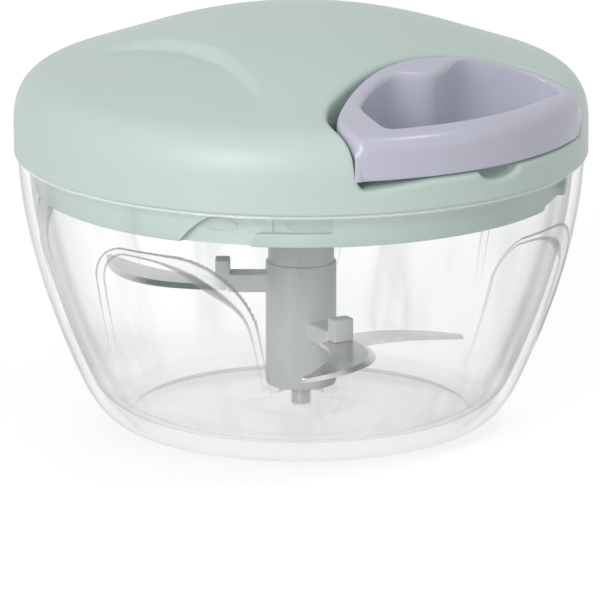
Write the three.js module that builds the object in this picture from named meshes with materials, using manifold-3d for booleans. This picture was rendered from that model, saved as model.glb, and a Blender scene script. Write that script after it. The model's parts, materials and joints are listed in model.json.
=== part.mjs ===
// Pull-string food chopper: a clear bowl with three sickle blades on a column, under a domed lid that
// holds a string reel, its spiral return spring and a ratchet clutch. Pulling the handle turns the blades.
// Millimetres, +Z up, the front is -Y, and the origin is the centre of the foot on the table.

import * as THREE from "three";
import { mergeVertices } from "three/addons/utils/BufferGeometryUtils.js";
import Module from "manifold-3d";

const wasm = await Module();
wasm.setup();

// Gaps and fineness that all pieces share
const SEAT_GAP = 0.3; // between two pieces that touch or turn on each other
const OVERRUN = 1; // how far a cut runs past the face that it opens
const MERGE_GAP = 0.0001; // points nearer than this are one point
const BIG_SIDES = 48; // round the bowl and the lid
const MID_SIDES = 30; // round the reel
const SMALL_SIDES = 16; // round pins, screws and bushes
const CURVE_STEPS = 6; // steps along a curved stretch of an outline
const HIDDEN_STEPS = 4; // the same on the inside of a wall
const ROUND_STEPS = 2; // steps of a rounded edge

// Bowl
const RIM_R = 64.15;
const RIM_Z = 61.7;
const BOWL_WALL = 2.4;
const BOWL_FLOOR = 2.8;
const FLANK_INSET = 0.95; // pull point of the long upper curve, in from the rim
const FLANK_DROP = 23.7; // and below it
const BELLY_INSET = 14.65; // where the side turns in, from the rim
const BELLY_Z = 8.5;
const CORNER_INSET = 3.9; // pull point of the lower corner, in from the belly
const CORNER_Z = 1.2;
const FOOT_INSET = 8.5; // foot's outside, in from the belly
const FOOT_WIDTH = 2.5;
const FOOT_RISE = 1.2;
const FLOOR_ROUND = 2;
const RIM_ROUND = 0.7;

// Arched panels pressed into the outside of the bowl, fading out towards the foot
const PANEL_COUNT = 4;
const PANEL_AZIMUTH = -30; // degrees from the front towards +X
const PANEL_HALF = 19; // half its width
const PANEL_DROP = 10.7; // its top below the rim
const PANEL_CORNER = 10;
const PANEL_DEPTH = 1;
const PANEL_FOOT_Z = 13;
const PANEL_FULL_Z = 32; // full depth from here up

// Spindle that the blades turn on
const SPINDLE_R = 2;
const SPINDLE_TOP = 24;
const SPINDLE_ROOT = 2.6;
const SPINDLE_BOSS_R = 5;
const SPINDLE_BOSS_H = 3;

// Bayonet lugs on the bowl and their track in the lid's skirt
const LUG_COUNT = 4;
const LUG_AZIMUTH = -17; // degrees from the front towards +X, lid set on but not yet locked
const LUG_WIDTH = 8;
const LUG_HEIGHT = 2.8;
const LUG_DROP = 3.1; // its middle below the rim
const LUG_CLEARANCE = 0.5; // from its end to the track's floor
const LOCK_TURN = 18; // degrees from set on to locked
const TRACK_DEPTH = 1.8;
const TRACK_CLEARANCE = 0.35;
const LIP_RUN = 6.5; // degrees of the lip beyond the lug's first end
const TRACK_STOP = 5.5; // degrees from the locked lug's middle to the track's end
const RAMP_FOOT = 9.5; // degrees from the lug's middle to the foot of the entry ramp
const DETENT_RISE = 0.35;
const DETENT_WIDTH = 0.9;
const DETENT_TURN = 10.5; // degrees from the entry to the click rib
const TRACK_STEPS = 8;
const POCKET_DEPTH = 0.4;
const POCKET_GROW = 0.6;

// Lid
const LID_OVERHANG = 0.85; // beyond the bowl's rim
const LID_HEADROOM = 9.8; // from the reel's top to the lid's top
const LID_WALL = 2.2;
const LID_EDGE_WALL = 1.7;
const LID_SIDE_RISE = 7.5; // straight side below the shoulder
const SHOULDER_RUN = 7; // from the edge in to the shoulder
const CROWN_RUN = 25; // from the edge in to the crown
const CROWN_DROP = 7;
const SKIRT_CLEARANCE = 1.35; // to the bowl's inside
const SKIRT_WALL = 3.8;
const SKIRT_DROP = 8.3;
const BASE_PLATE = 2;
const BASE_EDGE_GAP = 0.3;
const BASE_RIBS = 8;
const BASE_RIB_WIDTH = 1.6;
const BASE_RIB_DROP = 3;

// Shallow grip scooped out of the dome, with a crisp edge towards the middle
const SCOOP_AZIMUTH = -50.5; // degrees from the front towards +X
const SCOOP_START = 29.8; // from the lid's middle to its edge
const SCOOP_CURVE_R = 72; // of that edge, seen from above
const SCOOP_HALF = 35; // half its length
const SCOOP_WIDTH = 25;
const SCOOP_DEPTH = 1.9;
const SCOOP_FADE = 0.15; // how far the cut has left the dome at its faint sides
const SCOOP_BACK_SHARE = 0.6; // of its reach that the wall behind it follows
const SCOOP_STEPS = 10;
const SCOOP_ROWS = 4;

// Seal between the bowl's rim and the lid
const SEAL_H = 1.5;
const SEAL_LIP = 0.5;

// Handle and its recess, in the pull frame: u along the pull, v to its left
const PULL_AZIMUTH = 42.6; // degrees from the front towards +X
const HANDLE_GAP = 0.7;
const RECESS_RISE = 7; // recess floor above the seam
const RECESS_FLOOR = 2;
const RECESS_WALL = 2;
const HANDLE_SPAN = 30.92; // degrees from the pull to the handle's front corner
const HANDLE_SETBACK = 11; // from the reel's flange to the handle's back
const HANDLE_SIDE_SHARE = 0.65; // of the way from back to front, where the side starts to round
const HANDLE_TURN_SHARES = [0.415, 0.808]; // where the corner meets the back, of that way and of the half width
const HANDLE_BAR = 5; // width of the front bar
const HANDLE_ROUND = 1.6; // of its top edges
const RECESS_ROUND = 0.9; // of the lid's edge round it
const NOTCH_AZIMUTH = 42.6;
const NOTCH_WIDTH = 12;
const NOTCH_DEPTH = 2.5;
const NOTCH_REACH = 5;

// Hole in the handle for the fingers, as shares of its depth from back to bar and of its half width
const FINGER_HOLE_SHARES = [
  [1, -0.75],
  [0.56, -0.75],
  [0.27, -0.37],
  [0.3, -0.15],
  [0.28, 0.1],
  [0.134, 0.27],
  [0.136, 0.34],
  [0.36, 0.55],
  [0.66, 0.78],
  [0.94, 0.87],
  [1, 0.84],
];
const HOLE_STEPS = 22;

// Knot cell in the handle's column
const KNOT_R = 1.7;
const CELL_SIDE = 0.7; // beside the knot
const CELL_BACK_WALL = 2;
const CELL_ROOM = 2; // above the knot
const CAP_H = 1.6;

// String
const STRING_R = 0.9;
const WIND_TURNS = 2.5;
const WIND_GAP = 0.55; // between two turns
const WIND_STEPS = 24;
const STRING_SIDES = 6;
const STRING_STEPS = 6;
const EYE_CLEARANCE = 0.4;
const EYE_WALL = 1.4;
const EYE_FLANGE = 1.1;

// Reel, from the bottom up
const DRUM_R = 19.1;
const DRUM_WALL = 2.1;
const FLANGE_RISE = 4.9; // beyond the drum
const REEL_FLANGE = 1.5;
const REEL_WEB = 1.8;
const DRUM_H = 10;
const RATCHET_H = 4;
const RATCHET_RISE = 1.9; // beyond the drum
const RATCHET_WALL = 2.5;
const TOOTH_DEPTH = 2;
const TOOTH_COUNT = 12;

// Spiral return spring
const SPRING_TURNS = 6;
const SPRING_STEPS = 16;
const SPRING_THICK = 0.5;
const SPRING_H = 6.5;

// Axle, washer and drive shaft
const AXLE_R = 3;
const ARBOR_WALL = 1.6;
const AXLE_BOSS_WALL = 3.7;
const WASHER_WIDTH = 2.7;
const WASHER_H = 0.8;
const AXLE_SINK = 3.5;
const DISC_GAP = 1.1; // from the disc to the teeth
const DISC_H = 2;
const HUB_WALL = 2.7;
const SLEEVE_WALL = 2.2;
const SLEEVE_DROP = 8;
const DOG_SHOW = 1; // from the column's top to the dog's
const DOG_CORE_R = 3.3;
const DOG_LOBE = 2;
const DOG_LENGTH = 9.5;
const DOG_LOBES = 3;
const DOG_LOBE_HALF = 15; // degrees

// Pawls of the clutch
const PAWL_INSET = 2.4; // from the disc's edge
const PAWL_PIN_R = 1.2;
const PAWL_EYE_WALL = 1.1;
const PAWL_ARM_SHARE = 0.75; // of the eye's radius, half its width at the eye
const PAWL_TIP_HALF = 0.7;
const PAWL_REACH = 50; // degrees from the pivot back to the tip
const PAWL_LEAD = 7; // degrees from a tooth's steep face to the tip
const PAWL_COUNT = 2;

// Screws that hold the base to the cover
const SCREW_TURNS = [75, 140, 220, 285]; // degrees from the pull direction
const SCREW_INSET = 9.6; // from the skirt's inside
const SCREW_R = 1.3;
const SCREW_HEAD_R = 2.8;
const SCREW_DOME_SHARE = 0.75; // flat middle of its head
const SCREW_HEAD_H = 1.6;
const SCREW_LENGTH = 9;
const SCREW_BOSS_R = 3.6;
const DRIVER_SLOT = 0.7;
const DRIVER_DEPTH = 0.7;

// Blade column and blades
const COLLAR_WALL = 1.7;
const COLLAR_H = 14;
const COLUMN_STEP = 0.55; // column beyond its collar
const COLUMN_GAP = 5.8; // from its top to the lid's sleeve
const SOCKET_CLEARANCE = 0.5;
const SOCKET_TOOTH_HALF = 18; // degrees
const ARM_LENGTH = 8.55;
const ARM_WIDTH = 5.6;
const ARM_HEIGHT = 4.2;
const ARM_TAB = 3;
const ARM_TAB_RISE = 3.4;
const BLADE_THICK = 1;
const TANG_WIDTH = 3.4;
const TANG_ROOT_GAP = 0.55; // from the column
const BLADE_HEEL = 9.5;
const BLADE_BEVEL = 1.8; // width of the ground edge
const BLADE_TIP_HALF = 0.5;
const BLADE_STEPS = 10;
const BEVEL_TIP_SHARE = 0.4; // of the bevel, left at the tip
const BLADE_SWEEP = 29.5; // degrees that the tip lies behind the arm
const UPPER_Z = 30;
const UPPER_TIP_GAP = 4.6; // to the bowl's wall
const MIDDLE_Z = 20;
const MIDDLE_TIP_GAP = 4;
const LOWER_Z = 11.5;
const LOWER_TIP_GAP = 4.85;
const BLADES = [
  { name: "blade_upper", z: UPPER_Z, tipGap: UPPER_TIP_GAP, turn: 180 },
  { name: "blade_middle", z: MIDDLE_Z, tipGap: MIDDLE_TIP_GAP, turn: 300 },
  { name: "blade_lower", z: LOWER_Z, tipGap: LOWER_TIP_GAP, turn: 60 },
];

// Places that follow from the sizes above
const FLANK_R = RIM_R - FLANK_INSET;
const FLANK_Z = RIM_Z - FLANK_DROP;
const BELLY_R = RIM_R - BELLY_INSET;
const CORNER_R = BELLY_R - CORNER_INSET;
const FOOT_R = BELLY_R - FOOT_INSET;
const LUG_Z = RIM_Z - LUG_DROP;
const LID_R = RIM_R + LID_OVERHANG;
const SHOULDER_R = LID_R - SHOULDER_RUN;
const CROWN_R = LID_R - CROWN_RUN;
const SKIRT_R = RIM_R - BOWL_WALL - SKIRT_CLEARANCE;
const SKIRT_INNER_R = SKIRT_R - SKIRT_WALL;
const SCREW_CIRCLE_R = SKIRT_INNER_R - SCREW_INSET;
const SEAM_Z = RIM_Z + SEAT_GAP;
const FLOOR_TOP = FOOT_RISE + BOWL_FLOOR;
const BOSS_TOP = FLOOR_TOP + SPINDLE_BOSS_H;
const SEAL_Z = SEAM_Z;
const BASE_Z = SEAL_Z + SEAL_H + SEAT_GAP;
const BASE_TOP = BASE_Z + BASE_PLATE;
const BASE_R = LID_R - LID_WALL - BASE_EDGE_GAP;
const SKIRT_BOTTOM = SEAM_Z - SKIRT_DROP;
const RECESS_Z = SEAM_Z + RECESS_RISE;
const HANDLE_Z = RECESS_Z + SEAT_GAP;
const DISC_Z = BASE_TOP + SEAT_GAP;
const DISC_TOP = DISC_Z + DISC_H;
const RATCHET_Z = DISC_TOP + SEAT_GAP;
const WEB_Z = RATCHET_Z + RATCHET_H;
const DRUM_Z = WEB_Z + REEL_WEB;
const DRUM_TOP = DRUM_Z + DRUM_H;
const LID_TOP = DRUM_TOP + LID_HEADROOM;
const WASHER_Z = DRUM_TOP + SEAT_GAP;
const AXLE_BOSS_Z = WASHER_Z + WASHER_H + SEAT_GAP;
const AXLE_Z = DISC_Z + SEAT_GAP;
const ARBOR_R = AXLE_R + ARBOR_WALL;
const HUB_R = AXLE_R + SEAT_GAP + HUB_WALL;
const REEL_FLANGE_R = DRUM_R + FLANGE_RISE;
const TOOTH_ROOT_R = DRUM_R + RATCHET_RISE - RATCHET_WALL;
const TOOTH_TIP_R = TOOTH_ROOT_R - TOOTH_DEPTH;
const DISC_R = TOOTH_TIP_R - DISC_GAP;
const PAWL_PIVOT_R = DISC_R - PAWL_INSET;
const PAWL_EYE_R = PAWL_PIN_R + SEAT_GAP + PAWL_EYE_WALL;
const COLUMN_TOP = BASE_Z - SLEEVE_DROP - COLUMN_GAP;
const DOG_TOP_Z = COLUMN_TOP + DOG_SHOW;
const DOG_R = DOG_CORE_R + DOG_LOBE;
const SOCKET_R = DOG_R + SOCKET_CLEARANCE;
const COLLAR_R = SOCKET_R + COLLAR_WALL;
const COLUMN_R = COLLAR_R + COLUMN_STEP;
const ARM_REACH = COLUMN_R + ARM_LENGTH;
const TANG_ROOT_R = COLUMN_R + TANG_ROOT_GAP;
const WIND_R = DRUM_R + SEAT_GAP + STRING_R;
const WIND_PITCH = 2 * STRING_R + WIND_GAP;
const WIND_TOP = DRUM_TOP - REEL_FLANGE - SEAT_GAP - STRING_R;
const STRING_Z = WIND_TOP - WIND_TURNS * WIND_PITCH;
const HANDLE_HALF = LID_R * Math.sin(radians(HANDLE_SPAN));
const HANDLE_BACK_U = REEL_FLANGE_R + HANDLE_SETBACK;
const HANDLE_CORNER_U = LID_R * Math.cos(radians(HANDLE_SPAN));
const HANDLE_SIDE_U = HANDLE_BACK_U + (HANDLE_CORNER_U - HANDLE_BACK_U) * HANDLE_SIDE_SHARE;
const HANDLE_TURN_U = HANDLE_BACK_U + (HANDLE_SIDE_U - HANDLE_BACK_U) * HANDLE_TURN_SHARES[0];
const HANDLE_TURN_V = HANDLE_HALF * HANDLE_TURN_SHARES[1];
const EYE_R = STRING_R + EYE_CLEARANCE;
const EYE_TUBE_R = EYE_R + EYE_WALL;
const EYE_FLANGE_R = EYE_TUBE_R + EYE_FLANGE;
const EYE_U = HANDLE_BACK_U - HANDLE_GAP; // outer end of the string guide
const GUIDE_U = EYE_U - RECESS_WALL - EYE_FLANGE - SEAT_GAP; // its inner end
const LEAVE_ANGLE = -Math.acos(WIND_R / GUIDE_U); // where the string leaves the drum
const TRACK_FLOOR_R = SKIRT_R - TRACK_DEPTH;
const LUG_REACH_R = TRACK_FLOOR_R + LUG_CLEARANCE;
const PULL_ANGLE = radians(PULL_AZIMUTH - 90);
const CELL_DEPTH = 2 * (KNOT_R + SEAT_GAP);
const CELL_HALF = KNOT_R + CELL_SIDE;
const COLUMN_CENTRE_U = HANDLE_BACK_U + CELL_BACK_WALL + CELL_DEPTH / 2;

// Colours and finishes
const finish = (color, roughness, metalness = 0, opacity = 1) =>
  new THREE.MeshStandardMaterial({
    color,
    roughness,
    metalness,
    opacity,
    transparent: opacity < 1,
  });
const CLEAR = finish(0xeef3f2, 0.08, 0, 0.35);
const MINT = finish(0xc6d5cf, 0.35);
const LILAC = finish(0xbebdcd, 0.35);
const GREY = finish(0xa6a8a8, 0.45);
const WHITE = finish(0xe6e6e2, 0.5);
const SILICONE = finish(0xe9eeec, 0.7);
const STEEL = finish(0xb4b6b8, 0.25, 1);
const CORD = finish(0xe4e2da, 0.8);

// Turns degrees into radians.
function radians(degrees) {
  return (degrees * Math.PI) / 180;
}

// Point at a radius and an angle in radians.
function polar(radius, angle) {
  return new THREE.Vector2(radius * Math.cos(angle), radius * Math.sin(angle));
}

// Makes a closed geometry into a solid that can be joined and cut.
function solid(geometry) {
  const bare = geometry.index ? geometry.toNonIndexed() : geometry.clone();
  bare.deleteAttribute("normal");
  if (bare.getAttribute("uv")) bare.deleteAttribute("uv");
  const merged = mergeVertices(bare, MERGE_GAP);
  const corners = merged.index.array;
  const kept = [];
  for (let i = 0; i < corners.length; i += 3) {
    const [a, b, c] = [corners[i], corners[i + 1], corners[i + 2]];
    if (a !== b && b !== c && c !== a) kept.push(a, b, c);
  }
  const mesh = new wasm.Mesh({
    numProp: 3,
    vertProperties: merged.attributes.position.array,
    triVerts: new Uint32Array(kept),
  });
  return new wasm.Manifold(mesh);
}

// Makes a solid back into a geometry.
function geometryOf(body) {
  const mesh = body.getMesh();
  const geometry = new THREE.BufferGeometry();
  geometry.setAttribute("position", new THREE.BufferAttribute(mesh.vertProperties, 3));
  geometry.setIndex(new THREE.BufferAttribute(mesh.triVerts, 1));
  geometry.computeVertexNormals();
  return geometry;
}

// Joins a list of solids.
function join(bodies) {
  return bodies.reduce((whole, next) => whole.add(next));
}

// Turns a closed outline of [radius, z] points about the Z axis.
function turned(outline, sides) {
  const points = outline.map(([r, z]) => new THREE.Vector2(r, z));
  if (THREE.ShapeUtils.isClockWise(points)) points.reverse();
  const closed = [...points, points[0].clone()];
  const geometry = new THREE.LatheGeometry(closed, sides);
  geometry.rotateX(Math.PI / 2);
  return solid(geometry);
}

// Ring or disc with square edges.
function ring(inner, outer, bottom, top, sides) {
  return turned([[inner, bottom], [outer, bottom], [outer, top], [inner, top]], sides);
}

// Raises a flat shape from one height to another.
function raised(shape, bottom, top) {
  const geometry = new THREE.ExtrudeGeometry(shape, {
    depth: top - bottom,
    bevelEnabled: false,
    curveSegments: CURVE_STEPS,
  });
  geometry.translate(0, 0, bottom);
  return solid(geometry);
}

// Flat shape through a list of points.
function shapeOf(points) {
  return new THREE.Shape(points.map(([x, y]) => new THREE.Vector2(x, y)));
}

// Part of a ring between two azimuths, which are degrees from the front towards +X.
function sector(inner, outer, bottom, top, from, to, steps) {
  const points = [];
  for (let i = 0; i <= steps; i++) {
    points.push(polar(outer, radians(from + ((to - from) * i) / steps - 90)));
  }
  for (let i = steps; i >= 0; i--) {
    points.push(polar(inner, radians(from + ((to - from) * i) / steps - 90)));
  }
  return raised(new THREE.Shape(points), bottom, top);
}

// Sets a shape drawn in x and z upright at the front, from one radius out to another, at an azimuth.
function atFront(shape, inner, outer, azimuth) {
  const geometry = new THREE.ExtrudeGeometry(shape, {
    depth: outer - inner,
    bevelEnabled: false,
    curveSegments: CURVE_STEPS,
  });
  geometry.rotateX(Math.PI / 2);
  geometry.translate(0, -inner, 0);
  geometry.rotateZ(radians(azimuth));
  return solid(geometry);
}

// Ellipse in x and z.
function oval(width, height, z) {
  const shape = new THREE.Shape();
  shape.absellipse(0, z, width / 2, height / 2, 0, 2 * Math.PI);
  return shape;
}

// Part of an outline through straight and curved stretches, as [x, y] points.
function traced(steps, draw) {
  const path = new THREE.Path();
  draw(path);
  return path.getPoints(steps).map((p) => [p.x, p.y]);
}

// Cutter that rounds the lid's or the handle's top edge along a plan path, on the side that the sign names.
function edgeRound(path, radius, sign, closed) {
  const count = path.length;
  const bend = (i) => path[closed ? (i + count) % count : Math.min(Math.max(i, 0), count - 1)];
  const rings = path.map(([u, v], i) => {
    const before = new THREE.Vector2(u, v).sub(new THREE.Vector2(...bend(i - 1))).normalize();
    const after = new THREE.Vector2(...bend(i + 1)).sub(new THREE.Vector2(u, v)).normalize();
    const along = before.clone().add(after).normalize();
    const stretch = sign / Math.max(along.dot(before), along.dot(after), Math.SQRT1_2);
    const spot = (offset, z) => {
      return new THREE.Vector3(u - along.y * stretch * offset, v + along.x * stretch * offset, z);
    };
    const point = (offset, rise) => {
      const { x, y } = spot(offset, 0);
      return new THREE.Vector3(x, y, domeHeight(Math.hypot(x, y)) + rise);
    };
    const arc = [];
    for (let k = 0; k <= ROUND_STEPS; k++) {
      const angle = (Math.PI * k) / (2 * ROUND_STEPS);
      arc.push(point(radius * (1 - Math.cos(angle)), radius * (Math.sin(angle) - 1)));
    }
    const top = LID_TOP + OVERRUN;
    return [spot(-OVERRUN, top), point(-OVERRUN, -radius), ...arc, spot(radius, top)];
  });
  return skinned(rings, closed);
}

// Bowl's outside from the foot to just below the rim.
function bowlOutline(steps) {
  return traced(steps, (path) => {
    path.moveTo(FOOT_R, 0);
    path.quadraticCurveTo(CORNER_R, CORNER_Z, BELLY_R, BELLY_Z);
    path.quadraticCurveTo(FLANK_R, FLANK_Z, RIM_R, RIM_Z - RIM_ROUND);
  });
}

// Radius at a height on an outline of [radius, z] points.
function radiusAt(outline, z) {
  const above = outline.findIndex((point) => point[1] > z);
  const [[r0, z0], [r1, z1]] = [outline[above - 1], outline[above]];
  return r0 + ((r1 - r0) * (z - z0)) / (z1 - z0);
}

// Cutter of the arched panels: upright prisms less the bowl with its side set in.
function bowlPanels() {
  const top = RIM_Z - PANEL_DROP;
  const low = RIM_Z - RIM_ROUND;
  const setIn = bowlOutline(CURVE_STEPS).map(([r, z]) => {
    const share = THREE.MathUtils.smoothstep(z, PANEL_FOOT_Z, PANEL_FULL_Z);
    return [r + MERGE_GAP - (PANEL_DEPTH + MERGE_GAP) * share, z];
  });
  const core = turned([[0, 0], ...setIn, [0, low]], BIG_SIDES);
  const arch = new THREE.Shape();
  arch.moveTo(-PANEL_HALF, PANEL_FOOT_Z);
  arch.lineTo(PANEL_HALF, PANEL_FOOT_Z);
  arch.lineTo(PANEL_HALF, top - PANEL_CORNER);
  arch.quadraticCurveTo(PANEL_HALF, top, PANEL_HALF - PANEL_CORNER, top);
  arch.lineTo(PANEL_CORNER - PANEL_HALF, top);
  arch.quadraticCurveTo(-PANEL_HALF, top, -PANEL_HALF, top - PANEL_CORNER);
  const prisms = [];
  for (let i = 0; i < PANEL_COUNT; i++) {
    const azimuth = PANEL_AZIMUTH + (360 / PANEL_COUNT) * i;
    prisms.push(atFront(arch, FOOT_R - FOOT_WIDTH, RIM_R + OVERRUN, azimuth));
  }
  return join(prisms).subtract(core);
}

// Bowl: foot ring, round belly, rising side with panels, rim, spindle boss and bayonet lugs.
function bowl() {
  const outside = [...bowlOutline(CURVE_STEPS), [RIM_R - RIM_ROUND / 2, RIM_Z]];
  const inside = traced(HIDDEN_STEPS, (path) => {
    path.moveTo(RIM_R - BOWL_WALL, RIM_Z);
    path.quadraticCurveTo(FLANK_R - BOWL_WALL, FLANK_Z, BELLY_R - BOWL_WALL, BELLY_Z + SEAT_GAP);
    path.quadraticCurveTo(CORNER_R - BOWL_WALL, FLOOR_TOP, FOOT_R - FLOOR_ROUND, FLOOR_TOP);
  });
  const footInner = FOOT_R - FOOT_WIDTH;
  const shell = turned(
    [
      [0, FOOT_RISE],
      [footInner, FOOT_RISE],
      [footInner, 0],
      ...outside,
      ...inside,
      [SPINDLE_BOSS_R, FLOOR_TOP],
      [SPINDLE_BOSS_R, BOSS_TOP],
      [0, BOSS_TOP],
    ],
    BIG_SIDES,
  );
  const lugs = [];
  for (let i = 0; i < LUG_COUNT; i++) {
    const azimuth = LUG_AZIMUTH + (360 / LUG_COUNT) * i;
    const outer = RIM_R - BOWL_WALL / 2;
    lugs.push(atFront(oval(LUG_WIDTH, LUG_HEIGHT, LUG_Z), LUG_REACH_R, outer, azimuth));
  }
  const bore = ring(0, SPINDLE_R + SEAT_GAP, SPINDLE_ROOT - SEAT_GAP, BOSS_TOP + OVERRUN, SMALL_SIDES);
  return join([shell, ...lugs]).subtract(bowlPanels()).subtract(bore);
}

// Steel pin in the bowl's floor, with a chamfered head.
function spindlePin() {
  const chamfer = SPINDLE_R / 4;
  return turned(
    [
      [0, SPINDLE_ROOT],
      [SPINDLE_R, SPINDLE_ROOT],
      [SPINDLE_R, SPINDLE_TOP - chamfer],
      [SPINDLE_R - chamfer, SPINDLE_TOP],
      [0, SPINDLE_TOP],
    ],
    SMALL_SIDES,
  );
}

// Silicone ring under the lid's edge, with a low lip towards the skirt.
function sealRing() {
  const inner = SKIRT_R + SEAT_GAP;
  const outer = LID_R - LID_EDGE_WALL - SEAT_GAP;
  const middle = (inner + outer) / 2;
  return turned(
    [
      [inner, SEAL_Z],
      [outer, SEAL_Z],
      [outer, SEAL_Z + SEAL_H - SEAL_LIP],
      [middle, SEAL_Z + SEAL_H - SEAL_LIP],
      [middle, SEAL_Z + SEAL_H],
      [inner, SEAL_Z + SEAL_H],
    ],
    BIG_SIDES,
  );
}

// Dome outline from the seam to the top, moved in by a wall.
function domeOutline(inset) {
  const slope = (2 * CROWN_DROP) / CROWN_R;
  const crownZ = LID_TOP - CROWN_DROP - inset;
  const shoulderZ = crownZ - slope * (SHOULDER_R - CROWN_R);
  const edgeZ = crownZ - slope * (LID_R - CROWN_R);
  return traced(inset > 0 ? HIDDEN_STEPS : CURVE_STEPS, (path) => {
    path.moveTo(LID_R - inset, SEAM_Z);
    path.lineTo(LID_R - inset, SEAM_Z + LID_SIDE_RISE);
    path.quadraticCurveTo(LID_R - inset, edgeZ, SHOULDER_R - inset, shoulderZ);
    path.lineTo(CROWN_R, crownZ);
    path.quadraticCurveTo(CROWN_R / 2, LID_TOP - inset, 0, LID_TOP - inset);
  });
}

// Height of the dome's outside at a radius.
function domeHeight(radius) {
  const outline = domeOutline(0);
  const inner = outline.findIndex((point) => point[0] < Math.min(radius, LID_R - MERGE_GAP));
  const [[r0, z0], [r1, z1]] = [outline[inner - 1], outline[inner]];
  return z0 + ((z1 - z0) * (Math.min(radius, LID_R) - r0)) / (r1 - r0);
}

// Solid dome, whole from the seam up.
function domeSolid(inset, bottom) {
  const outline = domeOutline(inset);
  outline[0][1] = bottom;
  return turned([...outline, [0, bottom]], BIG_SIDES);
}

// Handle's edge in the pull frame, grown by a margin, from the front arc's end round the back to its other end.
function handleEdge(grow, frontR) {
  const half = HANDLE_HALF + grow;
  const back = HANDLE_BACK_U - grow;
  const turnU = HANDLE_TURN_U - grow;
  const turnV = HANDLE_TURN_V + grow / 2;
  const frontU = Math.sqrt(frontR ** 2 - half ** 2);
  const sideU = (frontU + HANDLE_SIDE_U) / 2; // the straight side goes in steps, as the dome falls along it
  return traced(CURVE_STEPS, (path) => {
    path.moveTo(frontU, half);
    path.quadraticCurveTo(sideU, half, HANDLE_SIDE_U, half);
    path.quadraticCurveTo(turnU + (half - turnV) / 2, half, turnU, turnV);
    path.quadraticCurveTo(back, turnV / 2, back, 0);
    path.quadraticCurveTo(back, -turnV / 2, turnU, -turnV);
    path.quadraticCurveTo(turnU + (half - turnV) / 2, -half, HANDLE_SIDE_U, -half);
    path.quadraticCurveTo(sideU, -half, frontU, -half);
  });
}

// Handle's outline, with its front arc at a radius of its own.
function handleShape(grow, frontR) {
  const shape = shapeOf(handleEdge(grow, frontR));
  const frontAngle = Math.asin((HANDLE_HALF + grow) / frontR);
  shape.absarc(0, 0, frontR, -frontAngle, frontAngle, false);
  return shape;
}

// Slab that follows the scooped surface, between a height above it and one below, over a share of its reach.
function scoopSlab(above, below, reachShare) {
  const rings = [];
  const centre = SCOOP_START + SCOOP_CURVE_R;
  for (let i = 0; i <= SCOOP_STEPS; i++) {
    const along = ((2 * i) / SCOOP_STEPS - 1) * reachShare;
    const angle = (along * SCOOP_HALF) / SCOOP_CURVE_R;
    const [top, bottom] = [[], []];
    for (let k = 0; k <= SCOOP_ROWS; k++) {
      const across = (k / SCOOP_ROWS) * reachShare;
      const reach = SCOOP_CURVE_R - SCOOP_WIDTH * across;
      const [x, y] = [centre - reach * Math.cos(angle), reach * Math.sin(angle)];
      const share = (1 - along ** 2) * (1 - across) ** 2;
      const depth = (SCOOP_DEPTH + SCOOP_FADE) * share - SCOOP_FADE;
      const z = domeHeight(Math.hypot(x, y)) - depth;
      top.push(new THREE.Vector3(x, y, z + above));
      bottom.unshift(new THREE.Vector3(x, y, z - below));
    }
    rings.push([...top, ...bottom]);
  }
  return skinned(rings, false).rotate([0, 0, SCOOP_AZIMUTH - PULL_AZIMUTH]);
}

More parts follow.
